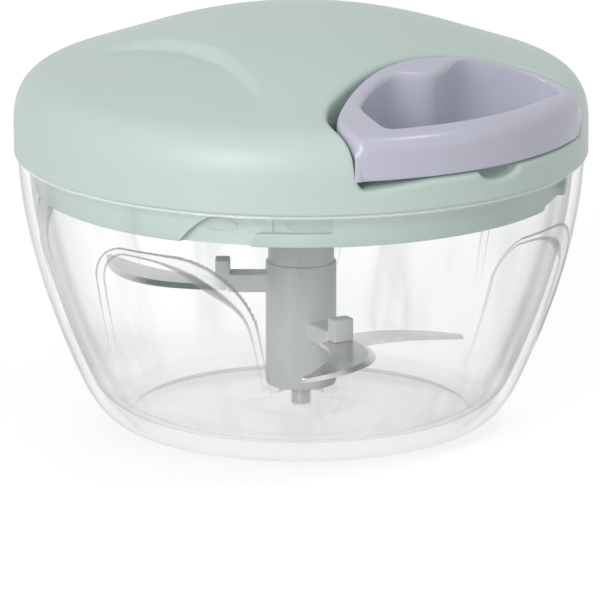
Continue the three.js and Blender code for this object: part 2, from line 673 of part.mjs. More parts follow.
// Top cover in the pull frame: dome shell, recess with its wall and floor, bosses and string hole.
function topCover() {
  const outer = domeSolid(0, SEAM_Z);
  const hollow = domeSolid(LID_WALL, SEAM_Z - OVERRUN);
  const edge = ring(0, LID_R - LID_EDGE_WALL, SEAM_Z - OVERRUN, BASE_Z, BIG_SIDES);
  const farR = LID_R + RECESS_WALL + OVERRUN;
  const wallShape = handleShape(HANDLE_GAP + RECESS_WALL, farR);
  const recessShape = handleShape(HANDLE_GAP, farR);
  const block = raised(wallShape, RECESS_Z - RECESS_FLOOR, LID_TOP).intersect(outer);
  const recess = raised(recessShape, RECESS_Z, LID_TOP + OVERRUN);
  const bosses = SCREW_TURNS.map((turn) => {
    const at = polar(SCREW_CIRCLE_R, radians(turn));
    const post = ring(0, SCREW_BOSS_R, BASE_TOP + SEAT_GAP, LID_TOP, SMALL_SIDES);
    return post.translate(at.x, at.y, 0).intersect(outer);
  });
  const pilots = SCREW_TURNS.map((turn) => {
    const at = polar(SCREW_CIRCLE_R, radians(turn));
    const top = BASE_Z + SCREW_LENGTH;
    const pilot = ring(0, SCREW_R + SEAT_GAP, BASE_TOP, top + SEAT_GAP, SMALL_SIDES);
    return pilot.translate(at.x, at.y, 0);
  });
  const bossR = AXLE_R + SEAT_GAP + AXLE_BOSS_WALL;
  const axleBoss = ring(0, bossR, AXLE_BOSS_Z, LID_TOP - LID_WALL / 2, MID_SIDES);
  const axleTop = AXLE_BOSS_Z + AXLE_SINK + SEAT_GAP;
  const axleBore = ring(0, AXLE_R + SEAT_GAP, AXLE_BOSS_Z - OVERRUN, axleTop, SMALL_SIDES);
  const eyeHole = alongPull(EYE_TUBE_R + SEAT_GAP, GUIDE_U, HANDLE_BACK_U);
  const notch = new THREE.SphereGeometry(1, SMALL_SIDES, SMALL_SIDES / 2);
  notch.scale(NOTCH_REACH, NOTCH_WIDTH / 2, NOTCH_DEPTH);
  notch.translate(LID_R, 0, RECESS_Z);
  notch.rotateZ(radians(NOTCH_AZIMUTH - PULL_AZIMUTH));
  const padShape = shapeOf([
    [LID_R - 2 * NOTCH_REACH, -NOTCH_WIDTH / 2 - RECESS_WALL],
    [LID_R, -NOTCH_WIDTH / 2 - RECESS_WALL],
    [LID_R, NOTCH_WIDTH / 2 + RECESS_WALL],
    [LID_R - 2 * NOTCH_REACH, NOTCH_WIDTH / 2 + RECESS_WALL],
  ]);
  const pad = raised(padShape, BASE_TOP + SEAT_GAP, RECESS_Z).intersect(outer);
  const lip = edgeRound(handleEdge(HANDLE_GAP, LID_R), RECESS_ROUND, -1, false);
  const scoopWall = scoopSlab(-LID_WALL / 2, LID_WALL, SCOOP_BACK_SHARE);
  return join([outer.subtract(hollow).subtract(edge), block, ...bosses, axleBoss, pad, scoopWall])
    .subtract(scoopSlab(SCOOP_DEPTH + OVERRUN, 0, 1))
    .subtract(recess)
    .subtract(lip)
    .subtract(solid(notch))
    .subtract(eyeHole)
    .subtract(axleBore)
    .subtract(join(pilots));
}

// Round bar along the pull direction at the string's height.
function alongPull(radius, from, to) {
  const geometry = new THREE.CylinderGeometry(radius, radius, to - from, SMALL_SIDES);
  geometry.rotateZ(Math.PI / 2);
  geometry.translate((from + to) / 2, 0, STRING_Z);
  return solid(geometry);
}

// Lid base: plate, skirt with four bayonet tracks, shaft sleeve and stiffening ribs.
function lidBase() {
  const sleeveR = HUB_R + SEAT_GAP;
  const plate = ring(0, BASE_R, BASE_Z, BASE_TOP, BIG_SIDES);
  const skirt = ring(SKIRT_INNER_R, SKIRT_R, SKIRT_BOTTOM, BASE_TOP, BIG_SIDES);
  const sleeve = ring(0, sleeveR + SLEEVE_WALL, BASE_Z - SLEEVE_DROP, BASE_TOP, MID_SIDES);
  const ribs = [];
  for (let i = 0; i < BASE_RIBS; i++) {
    const half = BASE_RIB_WIDTH / 2;
    const rib = shapeOf([
      [sleeveR, -half],
      [SKIRT_INNER_R + OVERRUN, -half],
      [SKIRT_INNER_R + OVERRUN, half],
      [sleeveR, half],
    ]);
    const turn = (360 / BASE_RIBS) * (i + 1 / 2) - PULL_AZIMUTH + 90;
    ribs.push(raised(rib, BASE_Z - BASE_RIB_DROP, BASE_TOP).rotate([0, 0, turn]));
  }
  const bore = ring(0, sleeveR, BASE_Z - SLEEVE_DROP - OVERRUN, BASE_TOP + OVERRUN, MID_SIDES);
  const screwHoles = SCREW_TURNS.map((turn) => {
    const at = polar(SCREW_CIRCLE_R, radians(turn) + PULL_ANGLE);
    const hole = ring(0, SCREW_R + SEAT_GAP, BASE_Z - OVERRUN, BASE_TOP + OVERRUN, SMALL_SIDES);
    return hole.translate(at.x, at.y, 0);
  });
  const heads = SCREW_TURNS.map((turn) => {
    const at = polar(SCREW_CIRCLE_R, radians(turn) + PULL_ANGLE);
    const room = SCREW_HEAD_R + SEAT_GAP;
    const hole = ring(0, room, BASE_Z - BASE_RIB_DROP - OVERRUN, BASE_Z, SMALL_SIDES);
    return hole.translate(at.x, at.y, 0);
  });
  const tracks = [];
  for (let i = 0; i < LUG_COUNT; i++) tracks.push(...bayonetTrack((360 / LUG_COUNT) * i));
  const detents = [];
  for (let i = 0; i < LUG_COUNT; i++) detents.push(detent((360 / LUG_COUNT) * i));
  return join([plate, skirt, sleeve, ...ribs])
    .subtract(bore)
    .subtract(join(screwHoles))
    .subtract(join(heads))
    .subtract(join(tracks))
    .add(join(detents));
}

// Cuts of one bayonet track: entry with its curved ramp, run above the lip, and the seat at its end.
function bayonetTrack(turn) {
  const top = LUG_Z + LUG_HEIGHT / 2 + TRACK_CLEARANCE;
  const lip = LUG_Z - LUG_HEIGHT / 2 - TRACK_CLEARANCE;
  const outer = SKIRT_R + OVERRUN;
  const start = LUG_AZIMUTH;
  const locked = LUG_AZIMUTH + LOCK_TURN;
  const run = sector(TRACK_FLOOR_R, outer, lip, top, start, locked + TRACK_STOP, TRACK_STEPS);
  const foot = -SKIRT_R * Math.sin(radians(RAMP_FOOT));
  const entryEnd = SKIRT_R * Math.sin(radians(LIP_RUN));
  const bottom = SKIRT_BOTTOM - OVERRUN;
  const entry = new THREE.Shape();
  entry.moveTo(foot, bottom);
  entry.lineTo(entryEnd, bottom);
  entry.lineTo(entryEnd, top);
  entry.lineTo(0, top);
  entry.quadraticCurveTo(foot + LUG_HEIGHT / 2, top, foot, SKIRT_BOTTOM);
  const mouth = atFront(entry, TRACK_FLOOR_R * Math.cos(radians(RAMP_FOOT)), outer + OVERRUN, start);
  const round = ring(0, TRACK_FLOOR_R, SKIRT_BOTTOM - 2 * OVERRUN, BASE_TOP, BIG_SIDES);
  const seat = oval(LUG_WIDTH + POCKET_GROW, LUG_HEIGHT + POCKET_GROW / 2, LUG_Z);
  const pocket = atFront(seat, TRACK_FLOOR_R - POCKET_DEPTH, outer, locked);
  return [run, mouth.subtract(round), pocket].map((cut) => cut.rotate([0, 0, turn]));
}

// Low upright rib in a track that the lug clicks over.
function detent(turn) {
  const bottom = LUG_Z - LUG_HEIGHT / 2 - TRACK_CLEARANCE;
  const top = LUG_Z + LUG_HEIGHT / 2 + TRACK_CLEARANCE;
  const half = ((DETENT_WIDTH / SKIRT_R) * 90) / Math.PI;
  const middle = LUG_AZIMUTH + DETENT_TURN;
  const inner = TRACK_FLOOR_R - TRACK_DEPTH / 4;
  const bump = sector(inner, TRACK_FLOOR_R + DETENT_RISE, bottom, top, middle - half, middle + half, 1);
  return bump.rotate([0, 0, turn]);
}

// Self-tapping screw with a domed, slotted head, standing on its head.
function coverScrew() {
  const headTop = BASE_Z - SEAT_GAP;
  const headBottom = headTop - SCREW_HEAD_H;
  const tip = BASE_Z + SCREW_LENGTH;
  const body = turned(
    [
      [0, headBottom],
      [SCREW_HEAD_R * SCREW_DOME_SHARE, headBottom],
      [SCREW_HEAD_R, headBottom + SCREW_HEAD_H / 2],
      [SCREW_HEAD_R, headTop],
      [SCREW_R, headTop],
      [SCREW_R, tip - SCREW_R],
      [0, tip],
    ],
    SMALL_SIDES,
  );
  const slot = new THREE.BoxGeometry(2 * SCREW_HEAD_R, DRIVER_SLOT, 2 * DRIVER_DEPTH);
  slot.translate(0, 0, headBottom);
  return body.subtract(solid(slot));
}

// Outline of the finger hole: a smooth curve through its shares, closed by an arc along the front bar.
function fingerHole() {
  const frontR = LID_R - HANDLE_BAR;
  const knots = FINGER_HOLE_SHARES.map(([deep, wide]) => {
    const v = HANDLE_HALF * wide;
    const depth = Math.sqrt(frontR ** 2 - v ** 2) - HANDLE_BACK_U;
    return new THREE.Vector2(HANDLE_BACK_U + depth * deep, v);
  });
  const curve = new THREE.SplineCurve(knots).getPoints(HOLE_STEPS);
  const turn = (point) => Math.asin(point.y / frontR);
  const [from, to] = [turn(knots[knots.length - 1]), turn(knots[0])];
  for (let i = 1; i < CURVE_STEPS; i++) {
    curve.push(polar(frontR, from + ((to - from) * i) / CURVE_STEPS));
  }
  return curve.map((point) => [point.x, point.y]);
}

// Handle in the pull frame: a flat ring whose top follows the dome, with a cell for the knot.
function handle() {
  const body = raised(handleShape(0, LID_R), HANDLE_Z, LID_TOP).intersect(domeSolid(0, HANDLE_Z));
  const hole = fingerHole();
  const opening = raised(shapeOf(hole), HANDLE_Z - OVERRUN, LID_TOP + OVERRUN);
  const outerRound = edgeRound(handleEdge(0, LID_R), HANDLE_ROUND, 1, false);
  const holeRound = edgeRound(hole, HANDLE_ROUND, 1, true);
  const cellU = HANDLE_BACK_U + CELL_BACK_WALL;
  const cellTop = STRING_Z + KNOT_R + CELL_ROOM;
  const cell = shapeOf([
    [cellU, -CELL_HALF],
    [cellU + CELL_DEPTH, -CELL_HALF],
    [cellU + CELL_DEPTH, CELL_HALF],
    [cellU, CELL_HALF],
  ]);
  const slotHalf = STRING_R + SEAT_GAP;
  const slot = shapeOf([
    [HANDLE_BACK_U - OVERRUN, -slotHalf],
    [cellU + OVERRUN, -slotHalf],
    [cellU + OVERRUN, slotHalf],
    [HANDLE_BACK_U - OVERRUN, slotHalf],
  ]);
  return body
    .subtract(opening)
    .subtract(outerRound)
    .subtract(holeRound)
    .subtract(raised(cell, HANDLE_Z - OVERRUN, cellTop))
    .subtract(raised(slot, HANDLE_Z - OVERRUN, STRING_Z + slotHalf));
}

// Knot at the string's end, a slightly long ball in the handle's cell.
function stringKnot() {
  const ball = new THREE.SphereGeometry(KNOT_R, SMALL_SIDES / 2, SMALL_SIDES / 2);
  ball.translate(COLUMN_CENTRE_U, 0, STRING_Z);
  return solid(ball);
}

// Cap that closes the knot cell from below and holds the knot up.
function knotCap() {
  const side = CELL_HALF - SEAT_GAP;
  const cellU = HANDLE_BACK_U + CELL_BACK_WALL + SEAT_GAP;
  const end = HANDLE_BACK_U + CELL_BACK_WALL + CELL_DEPTH - SEAT_GAP;
  const plate = shapeOf([[cellU, -side], [end, -side], [end, side], [cellU, side]]);
  const post = ring(0, KNOT_R, HANDLE_Z, STRING_Z - KNOT_R - SEAT_GAP, SMALL_SIDES / 2);
  return raised(plate, HANDLE_Z, HANDLE_Z + CAP_H).add(post.translate(COLUMN_CENTRE_U, 0, 0));
}

// Flanged bush in the recess wall that the string runs through.
function stringGuide() {
  const wallIn = EYE_U - RECESS_WALL - SEAT_GAP;
  const flange = alongPull(EYE_FLANGE_R, wallIn - EYE_FLANGE, wallIn);
  const tube = alongPull(EYE_TUBE_R, wallIn - EYE_FLANGE, EYE_U);
  return flange.add(tube).subtract(alongPull(EYE_R, wallIn - EYE_FLANGE - OVERRUN, EYE_U + OVERRUN));
}

// Round string along a list of points, with flat ends square to it.
function cord(points, sides) {
  const rings = points.map((point, i) => {
    const before = points[Math.max(i - 1, 0)];
    const after = points[Math.min(i + 1, points.length - 1)];
    const along = after.clone().sub(before).normalize();
    const side = new THREE.Vector3(0, 0, 1).cross(along).normalize();
    const up = along.clone().cross(side);
    return Array.from({ length: sides }, (_, k) => {
      const angle = (2 * Math.PI * k) / sides;
      const out = side.clone().multiplyScalar(Math.cos(angle));
      return out.addScaledVector(up, Math.sin(angle)).multiplyScalar(STRING_R).add(point);
    });
  });
  return skinned(rings, false);
}

// Closed skin over a row of rings with equal counts of points. The row is a loop, or each end is filled.
function skinned(rings, loop) {
  const count = rings[0].length;
  const faces = [];
  for (let i = 0; i < (loop ? rings.length : rings.length - 1); i++) {
    for (let k = 0; k < count; k++) {
      const next = (k + 1) % count;
      const far = ((i + 1) % rings.length) * count;
      const [a, b, c, d] = [i * count + k, i * count + next, far + k, far + next];
      faces.push(a, b, d, a, d, c);
    }
  }
  const last = (rings.length - 1) * count;
  for (let k = 1; !loop && k + 1 < count; k++) {
    faces.push(0, k + 1, k);
    faces.push(last, last + k, last + k + 1);
  }
  return closedBody(rings.flat(), faces);
}

// Solid between two level outlines with equal counts of points.
function lofted(lower, upper, bottom, top) {
  const count = lower.length;
  const outline = lower.map(([x, y]) => new THREE.Vector2(x, y));
  const faces = THREE.ShapeUtils.triangulateShape(outline, []).flatMap(([a, b, c]) => [
    ...[a, c, b],
    ...[a + count, b + count, c + count],
  ]);
  for (let k = 0; k < count; k++) {
    const next = (k + 1) % count;
    faces.push(k, next, next + count, k, next + count, k + count);
  }
  const level = (points, z) => points.map(([x, y]) => new THREE.Vector3(x, y, z));
  return closedBody([...level(lower, bottom), ...level(upper, top)], faces);
}

// Solid from points and triangles that close it, wound either way.
function closedBody(points, faces) {
  const positions = points.flatMap((p) => [p.x, p.y, p.z]);
  const geometry = new THREE.BufferGeometry();
  geometry.setAttribute("position", new THREE.Float32BufferAttribute(positions, 3));
  geometry.setIndex(faces);
  const body = solid(geometry);
  if (body.volume() > 0) return body;
  for (let i = 0; i < faces.length; i += 3) {
    [faces[i + 1], faces[i + 2]] = [faces[i + 2], faces[i + 1]];
  }
  geometry.setIndex(faces);
  return solid(geometry);
}

// Centre line of the string on the drum, from its fixed end at the top to where it leaves.
function windingLine() {
  const steps = Math.round(WIND_TURNS * WIND_STEPS);
  const gap = SEAT_GAP / WIND_R;
  const points = [];
  for (let i = 0; i <= steps; i++) {
    const share = i / steps;
    const angle = LEAVE_ANGLE - gap - 2 * Math.PI * WIND_TURNS * (1 - share);
    const at = polar(WIND_R, angle);
    points.push(new THREE.Vector3(at.x, at.y, WIND_TOP - WIND_PITCH * WIND_TURNS * share));
  }
  return points;
}

// Least gap between two turns of the winding, measured on its points.
function windingGap(points) {
  let least = Infinity;
  points.forEach((a, i) => {
    points.slice(i + WIND_STEPS / 2).forEach((b) => {
      least = Math.min(least, a.distanceTo(b) - 2 * STRING_R);
    });
  });
  return least;
}

// Free stretch of string: off the drum, through the guide and into the handle's cell.
function pullStringLine() {
  const leave = polar(WIND_R, LEAVE_ANGLE);
  const start = new THREE.Vector3(leave.x, leave.y, STRING_Z);
  const eyeIn = new THREE.Vector3(GUIDE_U - SEAT_GAP, 0, STRING_Z);
  const eyeOut = new THREE.Vector3(EYE_U, 0, STRING_Z);
  const end = new THREE.Vector3(COLUMN_CENTRE_U - KNOT_R - SEAT_GAP, 0, STRING_Z);
  const points = [];
  for (let i = 0; i < STRING_STEPS; i++) points.push(start.clone().lerp(eyeIn, i / STRING_STEPS));
  return [...points, eyeIn, eyeOut, end];
}

// Reel in the pull frame: ratchet ring below, web, drum and two flanges.
function reel() {
  const ratchet = ring(0, DRUM_R + RATCHET_RISE, RATCHET_Z, WEB_Z, MID_SIDES);
  const web = ring(0, REEL_FLANGE_R, WEB_Z, DRUM_Z, MID_SIDES);
  const drum = ring(0, DRUM_R, DRUM_Z, DRUM_TOP, MID_SIDES);
  const flange = ring(0, REEL_FLANGE_R, DRUM_TOP - REEL_FLANGE, DRUM_TOP, MID_SIDES);
  const teeth = [];
  for (let i = 0; i < TOOTH_COUNT; i++) {
    const start = (2 * Math.PI * i) / TOOTH_COUNT;
    const end = (2 * Math.PI * (i + 1)) / TOOTH_COUNT;
    teeth.push(polar(TOOTH_ROOT_R, start));
    teeth.push(polar((TOOTH_ROOT_R + TOOTH_TIP_R) / 2, (start + end) / 2));
    teeth.push(polar(TOOTH_TIP_R, end));
  }
  const cage = raised(new THREE.Shape(teeth), RATCHET_Z - OVERRUN, WEB_Z);
  const well = ring(0, DRUM_R - DRUM_WALL, DRUM_Z, DRUM_TOP + OVERRUN, MID_SIDES);
  const bore = ring(0, AXLE_R + SEAT_GAP, WEB_Z - OVERRUN, DRUM_Z + OVERRUN, SMALL_SIDES);
  return join([ratchet, web, drum, flange]).subtract(cage).subtract(well).subtract(bore);
}

// Disc that closes the spring's well in the reel.
function reelCover() {
  const outer = DRUM_R - DRUM_WALL - SEAT_GAP;
  return ring(AXLE_R + SEAT_GAP, outer, DRUM_TOP - REEL_FLANGE, DRUM_TOP, MID_SIDES);
}

// Flat spiral spring from the arbor out to the drum's wall.
function spiralSpring() {
  const inner = ARBOR_R + SEAT_GAP + SPRING_THICK / 2;
  const outer = DRUM_R - DRUM_WALL - SEAT_GAP - SPRING_THICK / 2;
  const bottom = DRUM_Z + SEAT_GAP;
  const steps = SPRING_TURNS * SPRING_STEPS;
  const rings = [];
  for (let i = 0; i <= steps; i++) {
    const share = i / steps;
    const angle = 2 * Math.PI * SPRING_TURNS * share;
    const middle = inner + (outer - inner) * share;
    const near = polar(middle - SPRING_THICK / 2, angle);
    const far = polar(middle + SPRING_THICK / 2, angle);
    rings.push([
      new THREE.Vector3(near.x, near.y, bottom),
      new THREE.Vector3(far.x, far.y, bottom),
      new THREE.Vector3(far.x, far.y, bottom + SPRING_H),
      new THREE.Vector3(near.x, near.y, bottom + SPRING_H),
    ]);
  }
  return skinned(rings);
}

// Axle with the spring's arbor, fixed in the cover's boss and steadied in the drive shaft.
function axlePin() {
  const arborZ = DRUM_Z + SEAT_GAP;
  const arborTop = DRUM_TOP - REEL_FLANGE - SEAT_GAP;
  return turned(
    [
      [0, AXLE_Z],
      [AXLE_R, AXLE_Z],
      [AXLE_R, arborZ],
      [ARBOR_R, arborZ],
      [ARBOR_R, arborTop],
      [AXLE_R, arborTop],
      [AXLE_R, AXLE_BOSS_Z + AXLE_SINK],
      [0, AXLE_BOSS_Z + AXLE_SINK],
    ],
    SMALL_SIDES,
  );
}

// Washer between the reel and the cover's boss.
function reelWasher() {
  const inner = AXLE_R + SEAT_GAP;
  return ring(inner, inner + WASHER_WIDTH, WASHER_Z, WASHER_Z + WASHER_H, SMALL_SIDES);
}

// Outline of the drive dog or of its socket: round, with lobes that reach to a second radius.
function lobed(coreR, lobeR, lobes, lobeHalf, offset) {
  const points = [];
  const step = 360 / lobes;
  for (let i = 0; i < lobes; i++) {
    const middle = offset + step * i;
    points.push(polar(lobeR, radians(middle - lobeHalf)));
    points.push(polar(lobeR, radians(middle)));
    points.push(polar(lobeR, radians(middle + lobeHalf)));
    const free = step - 2 * lobeHalf;
    for (let k = 0; k <= CURVE_STEPS; k++) {
      points.push(polar(coreR, radians(middle + lobeHalf + (free * k) / CURVE_STEPS)));
    }
  }
  return new THREE.Shape(points);
}

// Drive shaft in the pull frame: disc with pawl pins, hub for the axle, shaft and three-lobed dog.
function driveShaft() {
  const disc = ring(0, DISC_R, DISC_Z, DISC_TOP, MID_SIDES);
  const hub = ring(0, HUB_R, DISC_Z, WEB_Z - SEAT_GAP, MID_SIDES);
  const shaft = ring(0, HUB_R, DOG_TOP_Z, DISC_TOP, MID_SIDES);
  const dog = lobed(DOG_CORE_R, DOG_R, DOG_LOBES, DOG_LOBE_HALF, 0);
  const pins = [];
  for (let i = 0; i < PAWL_COUNT; i++) {
    const at = polar(PAWL_PIVOT_R, pawlTurn(i));
    pins.push(ring(0, PAWL_PIN_R, DISC_Z, WEB_Z - SEAT_GAP, SMALL_SIDES / 2).translate(at.x, at.y, 0));
  }
  const bore = ring(0, AXLE_R + SEAT_GAP, DISC_Z, WEB_Z, SMALL_SIDES);
  const key = raised(dog, DOG_TOP_Z - DOG_LENGTH, DOG_TOP_Z + OVERRUN);
  return join([disc, hub, shaft, key, ...pins]).subtract(bore);
}

// Angle of a pawl's pivot, so that its tip stands just ahead of a tooth's steep face.
function pawlTurn(index) {
  return radians(PAWL_REACH + PAWL_LEAD) + (2 * Math.PI * index) / PAWL_COUNT;
}

// Pawl: an eye on its pin and an arm that reaches back and out to a tooth.
function pawl(index) {
  const turn = pawlTurn(index);
  const pivot = polar(PAWL_PIVOT_R, turn);
  const toothFall = (TOOTH_ROOT_R - TOOTH_TIP_R) * (PAWL_LEAD / (360 / TOOTH_COUNT));
  const tipR = TOOTH_ROOT_R - toothFall - SEAT_GAP - PAWL_TIP_HALF;
  const tip = polar(tipR, turn - radians(PAWL_REACH));
  const along = tip.clone().sub(pivot).normalize();
  const side = new THREE.Vector2(-along.y, along.x);
  const corner = (point, reach, offset) => {
    const at = point.clone().addScaledVector(along, reach).addScaledVector(side, offset);
    return [at.x, at.y];
  };
  const wide = PAWL_EYE_R * PAWL_ARM_SHARE;
  const arm = shapeOf([
    corner(pivot, 0, -wide),
    corner(tip, 0, -PAWL_TIP_HALF),
    corner(tip, 0, PAWL_TIP_HALF),
    corner(pivot, 0, wide),
  ]);
  const bottom = DISC_TOP + SEAT_GAP;
  const top = WEB_Z - SEAT_GAP;
  const eye = ring(0, PAWL_EYE_R, bottom, top, SMALL_SIDES).translate(pivot.x, pivot.y, 0);
  const bore = ring(0, PAWL_PIN_R + SEAT_GAP, bottom - OVERRUN, top + OVERRUN, SMALL_SIDES);
  return eye.add(raised(arm, bottom, top)).subtract(bore.translate(pivot.x, pivot.y, 0));
}

// Blade column: stepped tube with the drive socket on top, the spindle bore below and three arms.
function bladeHolder() {
  const bottom = BOSS_TOP + SEAT_GAP;
  const collarZ = COLUMN_TOP - COLLAR_H;
  const body = turned(
    [
      [0, bottom],
      [COLUMN_R, bottom],
      [COLUMN_R, collarZ],
      [COLLAR_R, collarZ],
      [COLLAR_R, COLUMN_TOP],
      [0, COLUMN_TOP],
    ],
    MID_SIDES,
  );
  const arms = BLADES.map((blade) => bladeArm(blade));
  const slots = BLADES.map((blade) => tangSlot(blade));
  const pinBore = ring(0, SPINDLE_R + SEAT_GAP, bottom - OVERRUN, SPINDLE_TOP + SEAT_GAP, SMALL_SIDES);
  const half = 180 / DOG_LOBES - SOCKET_TOOTH_HALF;
  const toothR = DOG_CORE_R + SOCKET_CLEARANCE;
  const socketShape = lobed(toothR, SOCKET_R, DOG_LOBES, half, PULL_AZIMUTH - 90);
  const socket = raised(socketShape, DOG_TOP_Z - DOG_LENGTH - SEAT_GAP, COLUMN_TOP + OVERRUN);
  return join([body, ...arms]).subtract(socket).subtract(pinBore).subtract(join(slots));
}

// Arm of the column that carries one blade, with an upright tab at its end.
function bladeArm({ z, turn }) {
  const half = ARM_WIDTH / 2;
  const bar = shapeOf([[0, -half], [ARM_REACH, -half], [ARM_REACH, half], [0, half]]);
  const tabStart = ARM_REACH - ARM_TAB;
  const tab = shapeOf([[tabStart, -half], [ARM_REACH, -half], [ARM_REACH, half], [tabStart, half]]);
  const bottom = z - BLADE_THICK;
  const body = raised(bar, bottom, bottom + ARM_HEIGHT);
  return body.add(raised(tab, bottom, bottom + ARM_HEIGHT + ARM_TAB_RISE)).rotate([0, 0, turn]);
}

// Slot in an arm that the blade's tang slides into.
function tangSlot({ z, turn }) {
  const half = TANG_WIDTH / 2 + SEAT_GAP;
  const start = TANG_ROOT_R - SEAT_GAP;
  const end = ARM_REACH + OVERRUN;
  const shape = shapeOf([[start, -half], [end, -half], [end, half], [start, half]]);
  return raised(shape, z - SEAT_GAP, z + BLADE_THICK + SEAT_GAP).rotate([0, 0, turn]);
}

// Sickle blade: tang in the arm, broad heel, ground convex edge ahead and hollow back behind.
function blade({ z, tipGap, turn }) {
  const half = TANG_WIDTH / 2;
  const heel = ARM_REACH + SEAT_GAP;
  const tipR = radiusAt(bowlOutline(BIG_SIDES), z) - BOWL_WALL - tipGap;
  const tip = polar(tipR, -radians(BLADE_SWEEP));
  const outline = (bevel) =>
    traced(BLADE_STEPS, (path) => {
      path.moveTo(TANG_ROOT_R, -half);
      path.lineTo(heel, -half);
      path.lineTo(heel, -BLADE_HEEL / 2);
      path.quadraticCurveTo((heel + tip.x) / 2, -BLADE_HEEL / 2, tip.x - BLADE_TIP_HALF, tip.y);
      path.lineTo(tip.x + BLADE_TIP_HALF, tip.y + bevel * BEVEL_TIP_SHARE);
      path.quadraticCurveTo(tip.x - bevel, BLADE_HEEL / 2 - bevel, heel, BLADE_HEEL / 2 - bevel);
      path.lineTo(heel, half);
      path.lineTo(TANG_ROOT_R, half);
    });
  return lofted(outline(0), outline(BLADE_BEVEL), z, z + BLADE_THICK).rotate([0, 0, turn]);
}

// Named mesh in a group.
function place(group, name, body, material) {
  const mesh = new THREE.Mesh(geometryOf(body), material);
  mesh.name = name;
  group.add(mesh);
  return mesh;
}

const chopper = new THREE.Group();
const lid = new THREE.Group(); // pieces drawn in the pull frame
lid.rotation.z = PULL_ANGLE;
chopper.add(lid);

place(chopper, "bowl", bowl(), CLEAR);
place(chopper, "spindle_pin", spindlePin(), STEEL);
place(chopper, "seal_ring", sealRing(), SILICONE);
place(chopper, "lid_base", lidBase(), MINT);
place(chopper, "blade_holder", bladeHolder(), GREY);
BLADES.forEach((spec) => place(chopper, spec.name, blade(spec), STEEL));

place(lid, "top_cover", topCover(), MINT);
place(lid, "handle", handle(), LILAC);
place(lid, "knot_cap", knotCap(), LILAC);
place(lid, "string_knot", stringKnot(), CORD);
place(lid, "string_guide", stringGuide(), STEEL);
place(lid, "reel", reel(), WHITE);
place(lid, "reel_cover", reelCover(), WHITE);
place(lid, "spiral_spring", spiralSpring(), STEEL);
place(lid, "axle_pin", axlePin(), STEEL);
place(lid, "reel_washer", reelWasher(), STEEL);
place(lid, "drive_shaft", driveShaft(), GREY);
for (let i = 0; i < PAWL_COUNT; i++) place(lid, `pawl_${i + 1}`, pawl(i), WHITE);
const wound = windingLine();
console.log("least gap between turns of the winding, mm:", windingGap(wound).toFixed(2));
place(lid, "string_winding", cord(wound, STRING_SIDES), CORD);
place(lid, "pull_string", cord(pullStringLine(), STRING_SIDES), CORD);
SCREW_TURNS.forEach((turn, i) => {
  const at = polar(SCREW_CIRCLE_R, radians(turn));
  const screw = place(lid, `cover_screw_${i + 1}`, coverScrew(), STEEL);
  screw.position.set(at.x, at.y, 0);
});

export default chopper;
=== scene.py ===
"""Pull-string food chopper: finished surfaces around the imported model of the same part.

The bowl, lid, handle, blades and string are modelled here with smooth walls, and the small pieces of the
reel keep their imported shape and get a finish. Run it as a script. It is laid out as an add-on, with one
operator for each piece or group and one panel that lists them.

Lengths are in millimetres until they reach a mesh, apart from the settings and the stage, which are in
metres. The lid cover, the handle and the string are drawn with the pull along X and turned into place.
"""

import json
import math

import bpy
import numpy as np
from mathutils import Matrix, Vector


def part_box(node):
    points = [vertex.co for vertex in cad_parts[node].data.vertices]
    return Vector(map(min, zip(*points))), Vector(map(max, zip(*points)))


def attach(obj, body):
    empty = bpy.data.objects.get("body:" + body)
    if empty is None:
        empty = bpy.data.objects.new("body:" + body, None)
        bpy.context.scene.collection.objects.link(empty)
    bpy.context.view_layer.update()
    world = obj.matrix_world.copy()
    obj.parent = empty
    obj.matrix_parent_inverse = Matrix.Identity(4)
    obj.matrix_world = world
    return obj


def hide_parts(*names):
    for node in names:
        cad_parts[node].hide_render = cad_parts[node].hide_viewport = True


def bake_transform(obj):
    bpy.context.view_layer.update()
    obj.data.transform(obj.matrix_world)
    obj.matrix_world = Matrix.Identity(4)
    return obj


bl_info = {
    "name": "Pull-string food chopper",
    "version": (1, 0, 0),
    "blender": (4, 5, 0),
    "location": "View3D > Sidebar > Chopper",
    "description": "Builds the clear bowl, the lid with its ring handle, the blades and the string",
    "category": "Add Mesh",
}

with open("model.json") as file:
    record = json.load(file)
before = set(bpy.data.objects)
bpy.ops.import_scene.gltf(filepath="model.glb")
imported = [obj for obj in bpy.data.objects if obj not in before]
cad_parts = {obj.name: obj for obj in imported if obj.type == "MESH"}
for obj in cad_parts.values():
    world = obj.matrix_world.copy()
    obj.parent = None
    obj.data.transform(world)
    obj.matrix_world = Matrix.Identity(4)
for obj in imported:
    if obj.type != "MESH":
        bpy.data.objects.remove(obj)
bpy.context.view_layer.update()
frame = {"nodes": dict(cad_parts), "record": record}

MM = 0.001
SEAT_GAP = 0.3  # where two pieces or their edges meet
PULL_TURN = math.radians(-47.4)  # the pull direction, from +X
SEAM_Z = 62.0  # between the lid and the bowl
LID_R = 65.0
LID_TOP = 94.0
SIDE_RISE = 7.5  # of the lid's straight side above the seam
SHOULDER_R = 58.0
CROWN_R = 40.0
CROWN_DROP = 7.0
LID_WALL = 2.2
LID_EDGE_WALL = 1.7
BASE_Z = 63.8
BASE_TOP = 65.8
RECESS_Z = 69.0
RECESS_FLOOR = 2.0
RECESS_WALL = 2.0
HANDLE_Z = 69.3
HANDLE_GAP = 0.7
HANDLE_BAR = 5.0  # between the finger hole and the front
HANDLE_SPAN = math.radians(30.92)  # half of it, seen from the lid's middle
HANDLE_BACK_U = 35.0
HANDLE_SIDE_SHARE = 0.65  # where the straight sides end, from the back to the front corners
HANDLE_TURN_SHARES = (0.415, 0.808)  # where the curve of a back corner ends, along and across
STRING_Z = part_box("pull_string")[0].z / MM + 0.9
